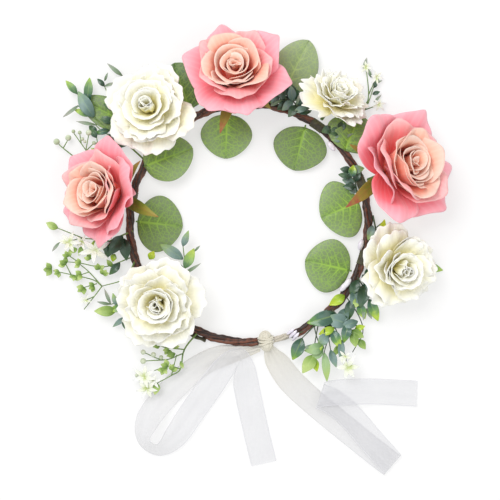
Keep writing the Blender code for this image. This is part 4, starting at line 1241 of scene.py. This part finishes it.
def build_knot():
    low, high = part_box("ribbon_knot")
    low, high = Vector(low), Vector(high)
    centre = (low + high) / 2
    size = (high - low) / 2
    rows, columns = 26, 40
    around = np.linspace(0, 2 * pi, columns, endpoint=False)[None, :] * np.ones((rows, 1))
    down = np.linspace(0.06, pi - 0.06, rows)[:, None] * np.ones((1, columns))
    turn = radians(KNOT_ANGLE + 90)
    pleat = 1 + 0.07 * np.sin(around * 9 + down * 2) + 0.05 * np.sin(around * 4 - down * 5)
    waist = 1 - 0.22 * np.exp(-((down - pi / 2) / 0.35) ** 2)
    x = np.sin(down) * np.cos(around) * size.x * pleat * waist
    z = np.sin(down) * np.sin(around) * size.z * pleat * waist
    y = -np.cos(down) * size.y
    points = np.stack((x * cos(turn) - y * sin(turn) + centre.x,
                       x * sin(turn) + y * cos(turn) + centre.y,
                       np.maximum(z + centre.z, TABLE_GAP)), axis=-1)
    marks = np.stack((down / pi, np.cos(around) * 0.8, np.full_like(down, 0.8)), axis=-1)
    sheets = Sheets()
    sheets.closed_grid(points, marks)
    sheets.build("ribbon_knot_cloth", FINISH["gathered"], "left_arm", stands_for=["ribbon_knot"], slot="knot")

    # the band that crosses over the knot
    band = Sheets()
    angles = np.linspace(0, 2 * pi, 40)
    for index, offset in enumerate((-1.6, 0.4, 2.2)):
        ring = [Vector((cos(a) * (size.x * 0.92 + 0.5 * MM), offset * MM + 0.8 * MM * sin(2 * a + index),
                        sin(a) * (size.z * 0.86))) for a in angles[:-1]]
        ring = [Matrix.Rotation(turn, 3, "Z") @ point + centre for point in ring]
        ring = [Vector((p.x, p.y, max(p.z, 1.0 * MM))) for p in ring]
        band.tube(ring + [ring[0]], 1.0 * MM, 8, mark=0.7)
    band.build("ribbon_knot_band", FINISH["gathered"], "left_arm", slot="knot")

    # the gathered length from the knot to the right end of the vine
    tie = Sheets()
    count = 16
    for strand in range(4):
        path = []
        for share, angle in zip(np.linspace(0.2, 1, count), np.linspace(TIE_START, TIE_END, count)):
            swing = 1.5 * MM * np.sin(share * pi)
            turn = 1.6 * strand + angle * 0.2
            path.append(polar(angle, HOOP_RADIUS + swing * cos(turn), VINE_HEIGHT + swing * sin(turn)))
        tie.tube(path, 1.35 * MM, 8, mark=0.4)
    piece = tie.build("ribbon_tie_cloth", FINISH["grey_gathered"], None, stands_for=["ribbon_tie"],
                      slot="knot")
    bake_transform(piece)


# ---------------------------------------------------------------- setting

def build_setting():
    """A white floor, soft light and a camera straight above."""
    mesh = bpy.data.meshes.new("floor")
    reach = 3.0
    grey = 0.36              # the floor's own colour, which varies a little
    mesh.from_pydata([(-reach, -reach, 0), (reach, -reach, 0), (reach, reach, 0), (-reach, reach, 0)],
                     [], [(0, 1, 2, 3)])
    floor = bpy.data.objects.new("floor", mesh)
    floor.location.z = -0.2 * MM
    bpy.context.collection.objects.link(floor)
    nodes = Nodes("floor", 0.9)
    nodes.set(nodes.shader, "Emission Color", (1.0, 1.0, 1.0, 1.0))
    nodes.set(nodes.shader, "Emission Strength", 0.56)
    mottle = nodes.ramp(nodes.noise(20.0), (0.0, (grey - 0.01,) * 3), (1.0, (grey + 0.01,) * 3))
    mesh.materials.append(nodes.finish(mottle))

    world = bpy.data.worlds.new("studio")
    bpy.context.scene.world = world
    world.use_nodes = True
    background = world.node_tree.nodes["Background"]
    background.inputs["Color"].default_value = (1.0, 1.0, 1.0, 1.0)
    background.inputs["Strength"].default_value = 0.66

    for name, place, size, power in (("key", (-0.5, 0.6, 1.3), 0.9, 15.0),
                                     ("fill", (0.8, -0.5, 1.1), 1.2, 6.0)):
        light = bpy.data.lights.new(name, "AREA")
        light.size = size
        light.energy = power
        lamp = bpy.data.objects.new(name, light)
        lamp.location = place
        lamp.rotation_euler = (-Vector(place)).to_track_quat("-Z", "Y").to_euler()
        bpy.context.collection.objects.link(lamp)

    camera_data = bpy.data.cameras.new("camera")
    camera = bpy.data.objects.new("camera", camera_data)
    camera.location = (0.8 * MM, -20.9 * MM, 1.25)        # above the middle of the crown and ribbon
    half_view = 0.19375      # half the picture's width where the crown lies
    view_distance = 1.245
    camera_data.angle = 2 * np.arctan(half_view / view_distance)
    camera_data.clip_start = 0.01
    bpy.context.collection.objects.link(camera)
    bpy.context.scene.camera = camera
    bpy.context.scene.view_settings.view_transform = "Standard"


# ---------------------------------------------------------------- the crown

build_setting()
build_vine()
build_rose("rose_front", 1, 12, 8)
build_rose("rose_left", 2, 30, 26)
build_rose("rose_right", 3, 55, 22)
build_ruffled_flower("white_upper_left", 4, 0)
build_ruffled_flower("white_upper_right", 5, 15, fringe=0.085, inner_lift=12)
build_ruffled_flower("white_right", 6, 30, inner_lift=6)
build_ruffled_flower("white_left", 7, 8)

BODY_OF = {node: body for body, nodes in frame["record"]["behaviour"]["bodies"].items() for node in nodes}
for number, node in enumerate(sorted(name for name in BODY_OF if name.startswith("leaf_"))):
    finish = {"leaf_front_left": "leaf_dark", "leaf_front_outer": "leaf_sage"}.get(node, "leaf")
    build_leaf(node, BODY_OF[node], 40 + number, FINISH[finish], BROADER_LEAVES.get(node, 1.0))
build_sprigs()
build_ribbon_tail("ribbon_left", RIBBON_LEFT, 61)
build_ribbon_tail("ribbon_right", RIBBON_RIGHT, 62)
build_knot()
